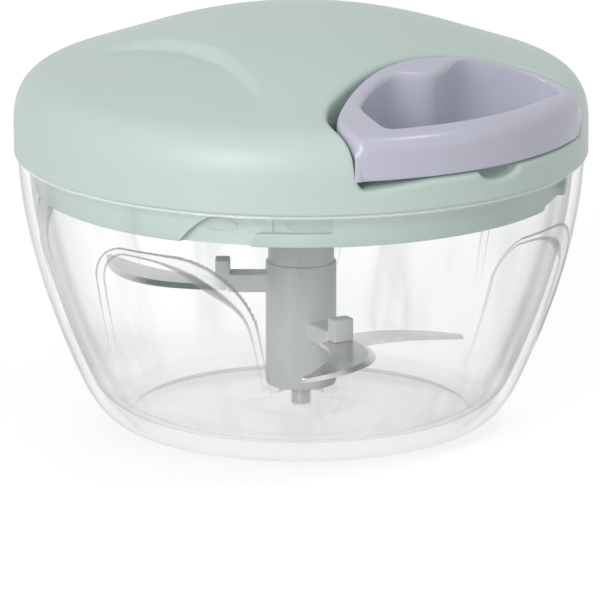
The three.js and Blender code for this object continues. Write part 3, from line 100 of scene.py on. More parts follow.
PROFILE_STEPS = (60, 12, 60)  # along the dome's crown, its flank and its shoulder
OUTLINE_STEPS = (16, 20, 30)  # along the handle's side, its rounded corner and half its back
FRONT_STEPS = 90
HOLE_STEPS = 12  # between two points of the finger hole
BAR_STEPS = 60
LOOP_POINTS = 480
LOOP_CENTRE = np.array((50.0, 0.5))
# points of the finger hole: shares of the way from the handle's back to its bar, and of its half width
FINGER_HOLE_SHARES = (
    (1, -0.745),
    (0.72, -0.735),
    (0.49, -0.7),
    (0.28, -0.5),
    (0.175, -0.25),
    (0.28, -0.03),
    (0.275, 0.1),
    (0.2, 0.25),
    (0.145, 0.36),
    (0.155, 0.5),
    (0.355, 0.73),
    (0.68, 0.89),
    (0.93, 0.905),
    (1.03, 0.88),
    (1.05, 0.8),
    (1, 0.68),
)


# Settings a user would change


def length_setting(name, description, default, low, high):
    """A length that a user can set, given in millimetres."""
    limits = {"default": default * MM, "min": low * MM, "max": high * MM}
    return bpy.props.FloatProperty(name=name, description=description, unit="LENGTH", precision=4, **limits)


def colour_setting(name, description, default):
    """A colour that a user can set."""
    return bpy.props.FloatVectorProperty(
        name=name, description=description, subtype="COLOR", size=3, min=0, max=1, default=default
    )


class ChopperSizes(bpy.types.PropertyGroup):
    """Sizes of the soft edges, the panels and the grip"""

    lip_round: length_setting("Recess edge", "Radius of the lid's edge round the handle", 1.7, 0.2, 1.8)
    handle_round: length_setting("Handle edge", "Radius of the handle's top edges", 1.6, 0.4, 2.2)
    scoop_depth: length_setting("Grip depth", "Depth of the grip scooped out of the lid", 2.2, 0.2, 2.5)
    panel_depth: length_setting("Panel depth", "Depth of the arched panels in the bowl", 1.0, 0.1, 1.4)


class ChopperColours(bpy.types.PropertyGroup):
    """Colours of the plastics, the steel and the string"""

    mint: colour_setting("Mint", "Lid and lid base", (0.57, 0.68, 0.636))
    lilac: colour_setting("Lilac", "Handle", (0.56, 0.555, 0.655))
    grey: colour_setting("Grey", "Blade column and drive shaft", (0.62, 0.63, 0.63))
    white: colour_setting("White", "Reel and pawls", (0.78, 0.78, 0.75))
    steel: colour_setting("Steel", "Blades, pins and screws", (0.66, 0.66, 0.65))
    string: colour_setting("String", "Braided string", (0.74, 0.73, 0.68))
    silicone: colour_setting("Silicone", "Seal ring", (0.74, 0.78, 0.77))


def sizes():
    """The sizes set in the scene."""
    return bpy.context.scene.chopper_sizes


def colours():
    """The colours set in the scene."""
    return bpy.context.scene.chopper_colours


# Modelling by operators


def deselect():
    """Nothing is selected or active."""
    bpy.ops.object.select_all(action="DESELECT")
    bpy.context.view_layer.objects.active = None


def choose(piece):
    """Only this piece is selected, and it is active."""
    deselect()
    piece.select_set(True)
    bpy.context.view_layer.objects.active = piece
    return piece


def edit(piece, *steps):
    """Runs edit-mode steps on a piece with everything in it selected."""
    choose(piece)
    bpy.ops.object.mode_set(mode="EDIT")
    bpy.ops.mesh.select_all(action="SELECT")
    for step in steps:
        step()
    bpy.ops.object.mode_set(mode="OBJECT")
    return piece


def closed_up(distance=0.004):
    """Edit steps that merge doubles and turn the faces outwards."""
    return (
        lambda: bpy.ops.mesh.remove_doubles(threshold=distance * MM),
        lambda: bpy.ops.mesh.normals_make_consistent(inside=False),
    )


def skin(name, rows):
    """A grid primitive placed row by row, with its doubles merged: rows of equal length, in millimetres."""
    rows = np.asarray(rows, float)
    deselect()
    bpy.ops.mesh.primitive_grid_add(x_subdivisions=rows.shape[1] - 1, y_subdivisions=rows.shape[0] - 1)
    piece = bpy.context.object
    piece.name = piece.data.name = name
    piece.data.vertices.foreach_set("co", (rows.reshape(-1) * MM).astype(np.float32))
    piece.data.update()
    return edit(piece, *closed_up())


def looped(rows):
    """Rows of a loop with the first point repeated at the end."""
    return [np.vstack((row, row[:1])) for row in rows]


def profile_line(name, points):
    """A single corner extruded point by point into a profile of radius and height."""
    deselect()
    bpy.ops.mesh.primitive_plane_add(size=MM)
    piece = bpy.context.object
    piece.name = piece.data.name = name
    start = Vector((points[0][0] * MM, 0, points[0][1] * MM))
    choose(piece)
    bpy.ops.object.mode_set(mode="EDIT")
    bpy.ops.mesh.select_all(action="SELECT")
    bpy.ops.mesh.merge(type="CENTER")
    bpy.ops.transform.translate(value=start)
    for (r0, z0), (r1, z1) in zip(points, points[1:]):
        step = Vector(((r1 - r0) * MM, 0, (z1 - z0) * MM))
        bpy.ops.mesh.extrude_vertices_move(TRANSFORM_OT_translate={"value": step})
    bpy.ops.object.mode_set(mode="OBJECT")
    return piece


def lathe(name, points, steps=144):
    """A profile of radius and height spun about the Z axis."""
    piece = profile_line(name, points)
    edit(piece, lambda: bpy.ops.mesh.spin(steps=steps, angle=2 * math.pi, center=(0, 0, 0), axis=(0, 0, 1)))
    return edit(piece, *closed_up())


def modified(piece, kind, **settings):
    """Adds a modifier and applies it."""
    choose(piece)
    modifier = piece.modifiers.new(kind.title(), kind)
    for key, value in settings.items():
        setattr(modifier, key, value)
    bpy.ops.object.modifier_apply(modifier=modifier.name)
    return piece


def cut(piece, *cutters, operation="DIFFERENCE", **settings):
    """Joins or cuts with other pieces, which are then gone."""
    for cutter in cutters:
        modified(piece, "BOOLEAN", operation=operation, solver="EXACT", object=cutter, **settings)
        bpy.data.meshes.remove(cutter.data)
    return piece


def block(start, end, half, low, high):
    """Block along X from start to end and from low to high, half its width to either side."""
    deselect()
    middle, size = Vector((start + end, 0, low + high)) * MM / 2, (end - start, 2 * half, high - low)
    bpy.ops.mesh.primitive_cube_add(size=MM, location=middle, scale=size)
    bpy.ops.object.transform_apply(location=True, rotation=True, scale=True)
    return bpy.context.object


def smooth(piece, degrees=32):
    """Smooth faces with hard edges where the surface turns sharply."""
    choose(piece)
    bpy.ops.object.shade_smooth_by_angle(angle=math.radians(degrees))
    return piece


def placed(piece, turn):
    """Turns a piece about Z, and leaves its object at the origin."""
    choose(piece)
    piece.matrix_world = Matrix.Rotation(turn, 4, "Z") @ piece.matrix_world
    bpy.ops.object.transform_apply(location=True, rotation=True, scale=True)
    return piece


def finished(piece, body, slot, material, *nodes):
    """Gives a piece its material and the body that it rides on, and hides the nodes that it stands for. The
    slot is not used.
    """
    piece.data.materials.clear()
    piece.data.materials.append(material)
    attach(piece, body)
    if nodes:
        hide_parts(*nodes)
    return piece


def curve(p0, p1, p2, steps):
    """Quadratic curve as points, without its last one."""
    t = np.linspace(0, 1, steps, endpoint=False)[:, None]
    p0, p1, p2 = (np.array(p, float) for p in (p0, p1, p2))
    return (1 - t) ** 2 * p0 + 2 * t * (1 - t) * p1 + t**2 * p2


def climb(value, low, high):
    """0 below one limit, 1 above the other and straight between them."""
    return np.clip((value - low) / (high - low), 0, 1)


def smoothstep(value):
    """0 to 1 with soft ends."""
    value = np.clip(value, 0, 1)
    return value * value * (3 - 2 * value)


# The dome and the plan of the handle


class Dome:
    """The lid's profile from its middle to the seam, and the flat map on which its outlines are drawn."""

    def __init__(self, inset, bottom, shoulder_r=SHOULDER_R, side_rise=SIDE_RISE):
        slope = 2 * CROWN_DROP / CROWN_R
        crown_z = LID_TOP - CROWN_DROP - inset
        top, crown = LID_TOP - inset, (CROWN_R, crown_z)
        shoulder = (shoulder_r - inset, crown_z - slope * (shoulder_r - CROWN_R))
        side = (LID_R - inset, SEAM_Z + side_rise)
        pull = (LID_R - inset, crown_z - slope * (LID_R - CROWN_R))
        points = np.vstack(
            (
                curve((0, top), (CROWN_R / 2, top), crown, PROFILE_STEPS[0]),
                curve(crown, np.add(crown, shoulder) / 2, shoulder, PROFILE_STEPS[1]),
                curve(shoulder, pull, side, PROFILE_STEPS[2]),
                [side, (LID_R - inset, bottom)],
            )
        )
        self.r, self.z = points.T
        self.s = np.concatenate(([0], np.cumsum(np.hypot(*np.diff(points, axis=0).T))))
        self.side = self.s[-2]
        self.end = self.s[-1]
        self.side_z = side[1]

    def flat(self, plan):
        """Flat map of points given in plan."""
        reach = np.hypot(*plan.T)
        along = np.interp(reach, self.r[:-1], self.s[:-1])
        return plan / reach[:, None] * along[:, None]

    def lifted(self, flat):
        """Points on the dome for points of the flat map."""
        along = np.hypot(*flat.T)
        reach = np.interp(along, self.s, self.r)
        plan = flat / np.maximum(along, 1e-9)[:, None] * reach[:, None]
        return np.column_stack((plan, np.interp(along, self.s, self.z)))


def handle_edge(grow, front_r, tuck=0.0):
    """The handle's side and back edges in plan, grown by a margin, with its back corners tucked in."""
    half = LID_R * math.sin(HANDLE_SPAN) + grow
    corner_u = LID_R * math.cos(HANDLE_SPAN)
    side_u = HANDLE_BACK_U + (corner_u - HANDLE_BACK_U) * HANDLE_SIDE_SHARE
    turn_u = HANDLE_BACK_U + (side_u - HANDLE_BACK_U) * HANDLE_TURN_SHARES[0] - grow + tuck
    turn_v = (half - grow) * HANDLE_TURN_SHARES[1] + grow / 2 - tuck
    back = HANDLE_BACK_U - grow
    front_u = math.sqrt(front_r**2 - half**2)
    pull_u = turn_u + (half - turn_v) / 2
    side = curve((front_u, half), ((front_u + side_u) / 2, half), (side_u, half), OUTLINE_STEPS[0])
    turn = curve((side_u, half), (pull_u, half), (turn_u, turn_v), OUTLINE_STEPS[1])
    rear = curve((turn_u, turn_v), (back, turn_v / 2), (back, 0), OUTLINE_STEPS[2])
    half_edge = np.vstack((side, turn, rear, [(back, 0)]))
    return np.vstack((half_edge, (half_edge * (1, -1))[-2::-1]))


def front_line(dome, edge, heights):
    """The front of an outline on the flat map: round the lid's side at a height for each angle."""
    start = math.atan2(edge[-1][1], edge[-1][0])
    angles = np.linspace(start, -start, FRONT_STEPS)[1:-1]
    along = dome.side + dome.side_z - heights(angles)
    return np.column_stack((np.cos(angles) * along, np.sin(angles) * along))


def resampled(loop, count=LOOP_POINTS, centre=LOOP_CENTRE):
    """A closed outline with its points at even angles round a centre."""
    away = loop - centre
    turn = np.unwrap(np.arctan2(away[:, 1], away[:, 0]))
    if turn[-1] < turn[0]:
        loop, turn = loop[::-1], turn[::-1]
    turn = np.concatenate((turn - 2 * math.pi, turn, turn + 2 * math.pi))
    wide = np.vstack((loop, loop, loop))
    angles = np.linspace(0, 2 * math.pi, count, endpoint=False)
    if turn[0] > angles[0] or turn[-1] < angles[-1]:
        angles = angles + turn[0]
    return np.column_stack((np.interp(angles, turn, wide[:, 0]), np.interp(angles, turn, wide[:, 1])))


def rounded(loop, passes):
    """A closed row of points or numbers, eased by averaging neighbours."""
    for _ in range(passes):
        loop = (np.roll(loop, 1, axis=0) + 2 * loop + np.roll(loop, -1, axis=0)) / 4
    return loop


def outward(loop):
    """Unit normals that point out of a closed outline."""
    along = np.roll(loop, -1, axis=0) - np.roll(loop, 1, axis=0)
    normal = np.column_stack((along[:, 1], -along[:, 0]))
    normal /= np.hypot(*normal.T)[:, None]
    return normal * (1 if np.sum(normal * (loop - loop.mean(axis=0))) > 0 else -1)


def wall_direction(edge, plan_normal, at_front):
    """Unit directions from an edge into the wall below it, or level into the piece along the front."""
    along = np.roll(edge, -1, axis=0) - np.roll(edge, 1, axis=0)
    along /= np.linalg.norm(along, axis=1)[:, None]
    normal = np.column_stack((plan_normal, np.zeros(len(plan_normal))))
    normal[at_front] = (0, 0, -1)
    down = np.cross(along, normal)
    down /= np.linalg.norm(down, axis=1)[:, None]
    inward = -edge * (1, 1, 0)
    flip = np.where(at_front, np.sum(down * inward, axis=1) < 0, down[:, 2] > 0)
    down[flip] *= -1
    down = rounded(down, 6)
    return down / np.linalg.norm(down, axis=1)[:, None]


def edge_rows(start, corner, end, steps):
    """Rows of a rounded edge from its start on one face to its end on the other."""
    shares = np.linspace(0, 1, steps + 1)
    return [(1 - t) ** 2 * start + 2 * t * (1 - t) * corner + t**2 * end for t in shares]


def between(first, last, shares):
    """Rows at shares of the way from one row to another."""
    return [first + (last - first) * share for share in shares]


def finger_hole():
    """The finger hole's outline in plan: a smooth curve through its shares and an arc along the bar."""
    front_r = LID_R - HANDLE_BAR
    half = LID_R * math.sin(HANDLE_SPAN)
    knots = []
    for deep, wide in FINGER_HOLE_SHARES:
        v = half * wide
        knots.append((HANDLE_BACK_U + (math.sqrt(front_r**2 - v**2) - HANDLE_BACK_U) * deep, v))
    knots = np.array(knots)
    ends = np.vstack((2 * knots[0] - knots[1], knots, 2 * knots[-1] - knots[-2]))
    points = []
    for a, b, c, d in zip(ends, ends[1:], ends[2:], ends[3:]):
        for t in np.linspace(0, 1, HOLE_STEPS, endpoint=False):
            square, cube = (2 * a - 5 * b + 4 * c - d) * t**2, (3 * b - a - 3 * c + d) * t**3
            points.append((2 * b + (c - a) * t + square + cube) / 2)
    first, last = (math.atan2(v, u) for u, v in (knots[-1], knots[0]))
    turn = np.linspace(first, last, BAR_STEPS)[:-1]
    arc = np.column_stack((np.cos(turn), np.sin(turn))) * front_r
    return np.vstack((points, arc))


# Materials


class Value:
    """A number socket that takes part in sums."""

    def __init__(self, shader, socket):
        self.shader = shader
        self.socket = socket

    def _math(self, operation, *values):
        """A Math node on some values."""
        return self.shader.value("ShaderNodeMath", {"operation": operation}, *values)

    def __add__(self, other):
        return self._math("ADD", self, other)

    def __sub__(self, other):
        return self._math("SUBTRACT", self, other)

    def __rsub__(self, other):
        return self._math("SUBTRACT", other, self)

    def __mul__(self, other):
        return self._math("MULTIPLY", self, other)

    __radd__ = __add__
    __rmul__ = __mul__


class Nodes:
    """A node tree, built node by node."""

    def __init__(self, tree):
        self.tree = tree

    def node(self, kind, settings, *values, **named):
        """Adds a node: its settings, then the values or links of its sockets by order or by name."""
        node = self.tree.nodes.new(kind)
        for key, value in settings.items():
            if key == "stops":
                while len(node.color_ramp.elements) < len(value):
                    node.color_ramp.elements.new(1)
                for stop, (place, level) in zip(node.color_ramp.elements, value):
                    stop.position, stop.color = place, (level, level, level, 1)
            else:
                setattr(node, key, value)
        pairs = list(enumerate(values)) + [(key.replace("_", " "), value) for key, value in named.items()]
        for key, value in pairs:
            self.link(node.inputs[key], value)
        return node

    def link(self, socket, value):
        """Links a value to a socket, or sets it."""
        source = value.socket if isinstance(value, Value) else value
        if isinstance(source, bpy.types.NodeSocket):
            self.tree.links.new(source, socket)
        else:
            socket.default_value = source

    def value(self, kind, settings, *values, **named):
        """Adds a node and gives its first output as a number."""
        return Value(self, self.node(kind, settings, *values, **named).outputs[0])

    def mix(self, share, first, second):
        """Colour mix by a share."""
        node = self.node("ShaderNodeMix", {"data_type": "RGBA"})
        self.link(node.inputs[0], share)
        self.link(node.inputs[6], first)
        self.link(node.inputs[7], second)
        return node.outputs[2]


class Shader(Nodes):
    """A material with a Principled shader."""

    def __init__(self, name, **constants):
        self.material = bpy.data.materials.new(name)
        self.material.use_nodes = True
        super().__init__(self.material.node_tree)
        self.surface = self.tree.nodes["Principled BSDF"]
        for key, value in constants.items():
            self.surface.inputs[key.replace("_", " ")].default_value = value

    def place(self, scale=(1, 1, 1)):
        """Object coordinates, scaled."""
        here = self.node("ShaderNodeTexCoord", {}).outputs["Object"]
        return self.node("ShaderNodeMapping", {}, Vector=here, Scale=scale).outputs["Vector"]

    def noise(self, scale, detail=2.0, roughness=0.5, stretch=(1, 1, 1)):
        """Noise from 0 to 1 in Object coordinates, with its scale per metre."""
        named = {"Vector": self.place(stretch), "Scale": scale, "Detail": detail, "Roughness": roughness}
        return self.value("ShaderNodeTexNoise", {}, **named)

    def tone(self, level):
        """Slightly cool grey of a level."""
        return self.mix(level, (0.0, 0.0, 0.0, 1), (0.985, 1.0, 1.0, 1))

    def ramp(self, value, *stops):
        """Grey level for a value, by stops of place and level."""
        return self.value("ShaderNodeValToRGB", {"stops": stops}, Fac=value)

    def attribute(self, name):
        """A number stored at the corners of the mesh."""
        node = self.node("ShaderNodeAttribute", {"attribute_name": name})
        return Value(self, node.outputs["Fac"])

    def bump(self, height, strength, distance):
        """Relief of a height in metres per unit."""
        node = self.node("ShaderNodeBump", {}, Strength=strength, Distance=distance, Height=height)
        self.link(self.surface.inputs["Normal"], node.outputs["Normal"])

    def feed(self, name, value):
        """Sets or links an input of the Principled shader."""
        self.link(self.surface.inputs[name], value)


def tinted(colour, gain):
    """A colour made lighter or darker, with its alpha."""
    return tuple(min(1.0, c * gain) for c in colour) + (1.0,)


def satin_plastic(name, colour, roughness=0.42, grain=0.25):
    """Moulded plastic with a fine grain, faint flow marks and slight wear in its gloss."""
    shader = Shader(name, IOR=1.5, Specular_IOR_Level=0.5)
    cloud = shader.noise(28, 3)
    fleck = shader.noise(900, 2)
    mottle = cloud * 0.7 + fleck * 0.3
    shader.feed("Base Color", shader.mix(mottle, tinted(colour, 0.975), tinted(colour, 1.025)))
    shader.feed("Roughness", roughness - 0.06 + cloud * 0.06 + fleck * 0.05)
    grains = shader.noise(2600, 2, 0.6)
    swell = shader.noise(60, 1)
    shader.bump(grains * 0.35 + swell * 0.9, grain, 0.00006)
    return shader.material


def clear_plastic(name):
    """Clear moulded plastic: see-through face on, with painted shade and light lines in place of refraction
    where it turns away or is pressed in, painted reflection streaks and a rim painted as a glowing
    highlight.
    """
    shader = Shader(name, Roughness=0.04, IOR=1.49, Specular_IOR_Level=0.5, Emission_Strength=1.0)
    larger = lambda first, second: shader.value("ShaderNodeMath", {"operation": "MAXIMUM"}, first, second)
    # painted shade and light lines where the wall turns away from the eye, in place of refraction
    weight = shader.node("ShaderNodeLayerWeight", {}, Blend=0.5)
    facing = Value(shader, weight.outputs["Facing"])
    away_stops = ((0, 0.01), (0.4, 0.03), (0.6, 0.1), (0.68, 0.3))
    away_stops += ((0.75, 0.12), (0.83, 0.34), (0.89, 0.8), (1, 0.9))
    turned_away_painted_shade_stops = ((0.5, 0.8), (0.66, 0.4), (0.72, 0.95), (0.84, 0.75), (0.9, 0.3), (1, 0.25))
    away, turned_away_painted_shade = shader.ramp(facing, *away_stops), shader.ramp(facing, *turned_away_painted_shade_stops)
    # painted light and shade lines in place of refraction across a panel's slope, 0 at its outer edge, 0.5
    # at its inner one: thin lines, thick where the painted highlight shines
    across, depth, gleam = (shader.attribute(f"panel_{name}") for name in ("slope", "depth", "gleam"))
    thin_stops = ((0, 0), (0.02, 0.85), (0.08, 0.75), (0.13, 0.2))
    thin_stops += ((0.36, 0.2), (0.42, 0.8), (0.5, 0.7), (0.56, 0))
    thick_stops = ((0, 0), (0.02, 0.85), (0.07, 0.8), (0.12, 0.6))
    thick_stops += ((0.3, 0.9), (0.36, 0.9), (0.52, 0.75), (0.57, 0))
    thin_tones = ((0.02, 0.2), (0.08, 0.25), (0.13, 1.0), (0.36, 1.0), (0.42, 0.22), (0.52, 0.35))
    thick_tones = ((0.02, 0.3), (0.07, 0.4), (0.12, 1.0), (0.33, 1.0), (0.37, 0.25), (0.53, 0.3))
    thin, thick = shader.ramp(across, *thin_stops), shader.ramp(across, *thick_stops)
    line = depth * (thin + (thick - thin) * gleam)
    thin_tone, thick_tone = shader.ramp(across, *thin_tones), shader.ramp(across, *thick_tones)
    tone = thin_tone + (thick_tone - thin_tone) * gleam
    clear_of_slope = 1 - depth * shader.ramp(across, (0, 0), (0.02, 1), (0.5, 1), (0.56, 0))
    # upright painted reflection streaks in the wall, and the rim painted near white with a glow
    rim, wall = shader.attribute("rim_edge"), shader.attribute("wall_share")
    # stretched noise that places the painted reflection streaks
    flow = shader.noise(70, 2, 0.5, (1, 1, 0.1))
    painted_reflection_streak = shader.ramp(flow, (0.52, 0), (0.64, 0.12), (0.7, 0.0)) * wall
    # the base colour takes the painted shade of the turned-away edges and the painted light and shade of
    # the panels' lines
    grey = shader.mix(line * 4, shader.tone(turned_away_painted_shade), shader.tone(tone))
    # the rim is painted near white and given a glow: a painted highlight where there is no lamp
    shader.feed("Base Color", shader.mix(rim, grey, (0.98, 0.98, 0.98, 1)))
    shader.feed("Emission Color", shader.mix(rim, (0, 0, 0, 1), (0.12, 0.12, 0.12, 1)))
    seen = away * (wall * 0.6 + 0.4) * clear_of_slope + painted_reflection_streak
    shader.feed("Alpha", larger(larger(seen, line), rim * 0.58))
    shader.bump(shader.noise(35, 1), 0.2, 0.0002)
    return shader.material


def brushed_steel(name, colour, stretch=(1, 1, 1), roughness=0.3):
    """Steel with fine lines from grinding or turning."""
    shader = Shader(name)
    lines = shader.noise(900, 3, 0.6, stretch)
    cloud = shader.noise(60, 2)
    shader.feed("Metallic", 1.0)
    streaks = lines * 0.6 + cloud * 0.4
    shader.feed("Base Color", shader.mix(streaks, tinted(colour, 0.88), tinted(colour, 1.1)))
    shader.feed("Roughness", roughness - 0.06 + lines * 0.14)
    shader.bump(lines, 0.25, 0.00003)
    return shader.material


def soft_silicone(name, colour):
    """Matt silicone with a dusty bloom."""
    shader = Shader(name, IOR=1.41)
    cloud = shader.noise(120, 3)
    shader.feed("Base Color", shader.mix(cloud, tinted(colour, 0.95), tinted(colour, 1.03)))
    shader.feed("Roughness", cloud * 0.1 + 0.62)
    shader.bump(shader.noise(1500, 2), 0.3, 0.00004)
    return shader.material


def braided_string(name, colour):
    """Braided string: two sets of crossing strands that follow its own map along and round it."""
    shader = Shader(name)
    along = shader.node("ShaderNodeUVMap", {"uv_map": "UVMap"}).outputs["UV"]
    parts = shader.node("ShaderNodeSeparateXYZ", {}, Vector=along)
    u, v = Value(shader, parts.outputs["X"]), Value(shader, parts.outputs["Y"])
    wave = lambda value: shader.value("ShaderNodeMath", {"operation": "SINE"}, value * (2 * math.pi))
    braid = wave(u + v * 3) * wave(u - v * 3)
    share = braid * 0.5 + 0.5
    shader.feed("Base Color", shader.mix(share, tinted(colour, 0.62), tinted(colour, 1.08)))
    shader.feed("Roughness", 0.9 - share * 0.15)
    shader.bump(share + shader.noise(4000, 2) * 0.2, 0.9, 0.0002)
    return shader.material


# painted light: the lid base gets a copy of the mint made lighter, for how light falls on it seen through
# the bowl
PAINTED_LIGHT_INSIDE_TONE = 1.05  # of the lid base, seen through the bowl


def finish(name):
    """The material of a finish, made once."""
    known = bpy.data.materials.get(name)
    if known:
        return known
    c = colours()
    makers = {
        "mint plastic": lambda: satin_plastic(name, c.mint),
        "mint plastic painted lighter": lambda: satin_plastic(name, tuple(PAINTED_LIGHT_INSIDE_TONE * v for v in c.mint)),
        "lilac plastic": lambda: satin_plastic(name, c.lilac, 0.25, 0.03),
        "grey plastic": lambda: satin_plastic(name, c.grey, 0.45, 0.4),
        "white plastic": lambda: satin_plastic(name, c.white, 0.5, 0.4),
        "clear plastic": lambda: clear_plastic(name),
        "blade steel": lambda: brushed_steel(name, c.steel, (1, 1, 6), 0.3),
        "plain steel": lambda: brushed_steel(name, c.steel, (0.1, 0.1, 1), 0.28),
        "silicone": lambda: soft_silicone(name, c.silicone),
        "string": lambda: braided_string(name, c.string),
    }
    return makers[name]()


# Operators


class CHOPPER_OT_bowl(bpy.types.Operator):
    """Clear bowl with arched panels, a foot ring, a spindle boss and four bayonet lugs"""

    bl_idname = "chopper.bowl"
    bl_label = "Bowl"

    RIM = (64.15, 61.7)
    RIM_ROUND = 0.7
    FLANK = (63.2, 38.0)
    BELLY = (49.5, 8.5)
    CORNER = (45.6, 1.2)
    FOOT = 41.0
    FOOT_WIDTH = 2.5
    FOOT_RISE = 1.2
    WALL = 2.4
    FLOOR = 4.0
    BOSS = (5.0, 7.0)
    BORE = (2.3, 2.3)
    INSIDE_TOP = 60.8
    INSIDE_BELLY = 8.8
    FLOOR_RS = (39.0, 30.0, 18.0)
    UNDER_R = 20.0
    # rounded edges: in from the wall, and down from the top
    RIM_OUTSIDE = ((0.05, 0.4), (0.25, 0.1), (0.55, 0.0))
    RIM_INSIDE = ((0.55, 0.0), (0.2, 0.1), (0.0, 0.5))
    BOSS_FILLET, BOSS_ROUND = 0.8, 0.4
    FOOT_FILLET, FOOT_ROUND = (0.6, 0.5), 0.3
    FOOT_EASE = 0.05
    # heights of the rows: far apart up to the panels' tops, close together there, and on to the rim
    LOW_ROWS = (38.0, 18)
    FINE_ROWS = (38.6, 53.0, 0.45)
    HIGH_ROWS = (53.5, 60.9, 6)
    # the panels: half widths to the left and right, radii of the top corners, and least and greatest slope
    PANEL_TURNS = [math.radians(-30 + 90 * i - 90) for i in range(4)]
    PANEL_HALVES = (18.5, 21.3)
    PANEL_TOP = 51.0
    PANEL_CORNERS = (9.5, 17.0)
    PANEL_SLOPES = (1.8, 5.6)
    PANEL_FADE = (13.0, 32.0)
    PANEL_COLUMNS = ((-21.0, -8.5, 0.5), (-8.0, 5.0, 2.0), (5.5, 24.5, 0.5))
    BETWEEN_COLUMNS = 24
    # spots on a panel, by place across, height and size: where its slope is widest, and where a highlight
    # is painted
    WIDEST = (10.5, 44.0, 9.0)
    PAINTED_HIGHLIGHT_SPOT = (11.0, 45.5, 6.5)
    # where the panel's painted lines grow fainter, by height and across, and how much is left of them
    FAINT_BELOW = (28.0, 42.0, 0.4)
    FAINT_LEFT = (-16.0, -8.0, 0.75)
    LINE_DEPTH = 1.9
    # heights of the rim's band that is painted white and glowing
    RIM_PAINTED_GLOW_BAND = (60.8, 61.1)
    WALL_START = 5.0
    # the lugs: their radius, height and length outwards, and half their height and width
    LUG_TURNS = [math.radians(-17 + 90 * i - 90) for i in range(4)]
    LUG = (61.0, 58.6, 3.8)
    LUG_HALF = (1.4, 4.0)
    LUG_ROUND = 0.35

    def outside(self):
        """Profile of the outside, with its points closer together near the top of the panels."""
        foot = curve((self.FOOT, 0), self.CORNER, self.BELLY, 10)
        flank = curve(self.BELLY, self.FLANK, (self.RIM[0], self.RIM[1] - self.RIM_ROUND), 400)
        low = np.linspace(self.BELLY[1], *self.LOW_ROWS)
        heights = np.concatenate((low, np.arange(*self.FINE_ROWS), np.linspace(*self.HIGH_ROWS)))
        side = np.column_stack((np.interp(heights, flank[:, 1], flank[:, 0]), heights))
        return np.vstack((foot, side))

    def inside(self):
        """Profile of the rim, the inside, the floor with its boss and the underside."""
        (rim, top), (boss, boss_top), (bore, bore_top) = self.RIM, self.BOSS, self.BORE
        flank, belly, corner = (reach - self.WALL for reach, _ in (self.FLANK, self.BELLY, self.CORNER))
        low, rise, foot = self.FLOOR, self.FOOT_RISE, self.FOOT - self.FOOT_WIDTH
        turn = (belly, self.INSIDE_BELLY)
        fillet, fall = self.FOOT_FILLET
        return np.vstack(
            (
                [(rim - inset, top - drop) for inset, drop in self.RIM_OUTSIDE],
                [(rim - self.WALL + inset, top - drop) for inset, drop in self.RIM_INSIDE],
                curve((rim - self.WALL, self.INSIDE_TOP), (flank, self.FLANK[1]), turn, 28),
                curve(turn, (corner, low), (self.FLOOR_RS[0], low), 10),
                [(reach, low) for reach in self.FLOOR_RS],
                [(boss + self.BOSS_FILLET, low), (boss, low + self.BOSS_FILLET)],
                [(boss, boss_top - self.BOSS_ROUND), (boss - self.BOSS_ROUND, boss_top)],
                [(bore, boss_top), (bore, bore_top), (0, bore_top), (0, rise)],
                [(self.UNDER_R, rise), (foot - fillet, rise), (foot, rise - fall), (foot, self.FOOT_ROUND)],
                [(foot + self.FOOT_ROUND, 0), (self.FOOT - self.FOOT_EASE, 0)],
            )
        )

    def ring(self, turns, reach, height):
        """Row round the bowl at its turns, with one reach or one for each turn."""
        reach = np.broadcast_to(reach, turns.shape)
        return np.column_stack((np.cos(turns) * reach, np.sin(turns) * reach, np.full(len(turns), height)))

    def columns(self, reach):
        """Angles round the bowl at a reach: they follow the sides of the panels, closer together there."""
        across = np.concatenate([np.arange(*stretch) for stretch in self.PANEL_COLUMNS])
        turns = np.arcsin(across / max(reach, self.FOOT))
        between = np.linspace(turns[-1], turns[0] + math.pi / 2, self.BETWEEN_COLUMNS)[1:-1]
        return np.concatenate([middle + np.concatenate((turns, between)) for middle in self.PANEL_TURNS])

    def nearness(self, across, height, spot):
        """1 at a spot on a panel, falling to 0 away from it."""
        x, z, size = spot
        return np.exp(-(((across - x) / size) ** 2) - ((height - z) / size) ** 2)

    def panel(self, turn, height, reach):
        """Share of the way in from a panel's edge, share of its full depth, and the place across it."""
        middles = np.array(self.PANEL_TURNS)
        away = np.remainder(np.subtract.outer(turn, middles) + math.pi, 2 * math.pi) - math.pi
        away = np.take_along_axis(away, np.abs(away).argmin(axis=-1)[..., None], -1)[..., 0]
        across = np.sin(away) * reach
        corner = np.where(across > 0, self.PANEL_CORNERS[1], self.PANEL_CORNERS[0])
        half = np.where(across > 0, self.PANEL_HALVES[1], self.PANEL_HALVES[0])
        over_x = np.maximum(np.abs(across) - (half - corner), 0)
        over_z = np.maximum(height - (self.PANEL_TOP - corner), 0)
        narrow, wide = self.PANEL_SLOPES
        width = narrow + (wide - narrow) * self.nearness(across, height, self.WIDEST)
        share = (corner - np.hypot(over_x, over_z)) / width
        return share, smoothstep(climb(height, *self.PANEL_FADE)), across

    def faint(self, place, limits):
        """What is left of a line at a place: its least share below the limits and all of it above them."""
        low, high, least = limits
        return least + (1 - least) * smoothstep(climb(place, low, high))

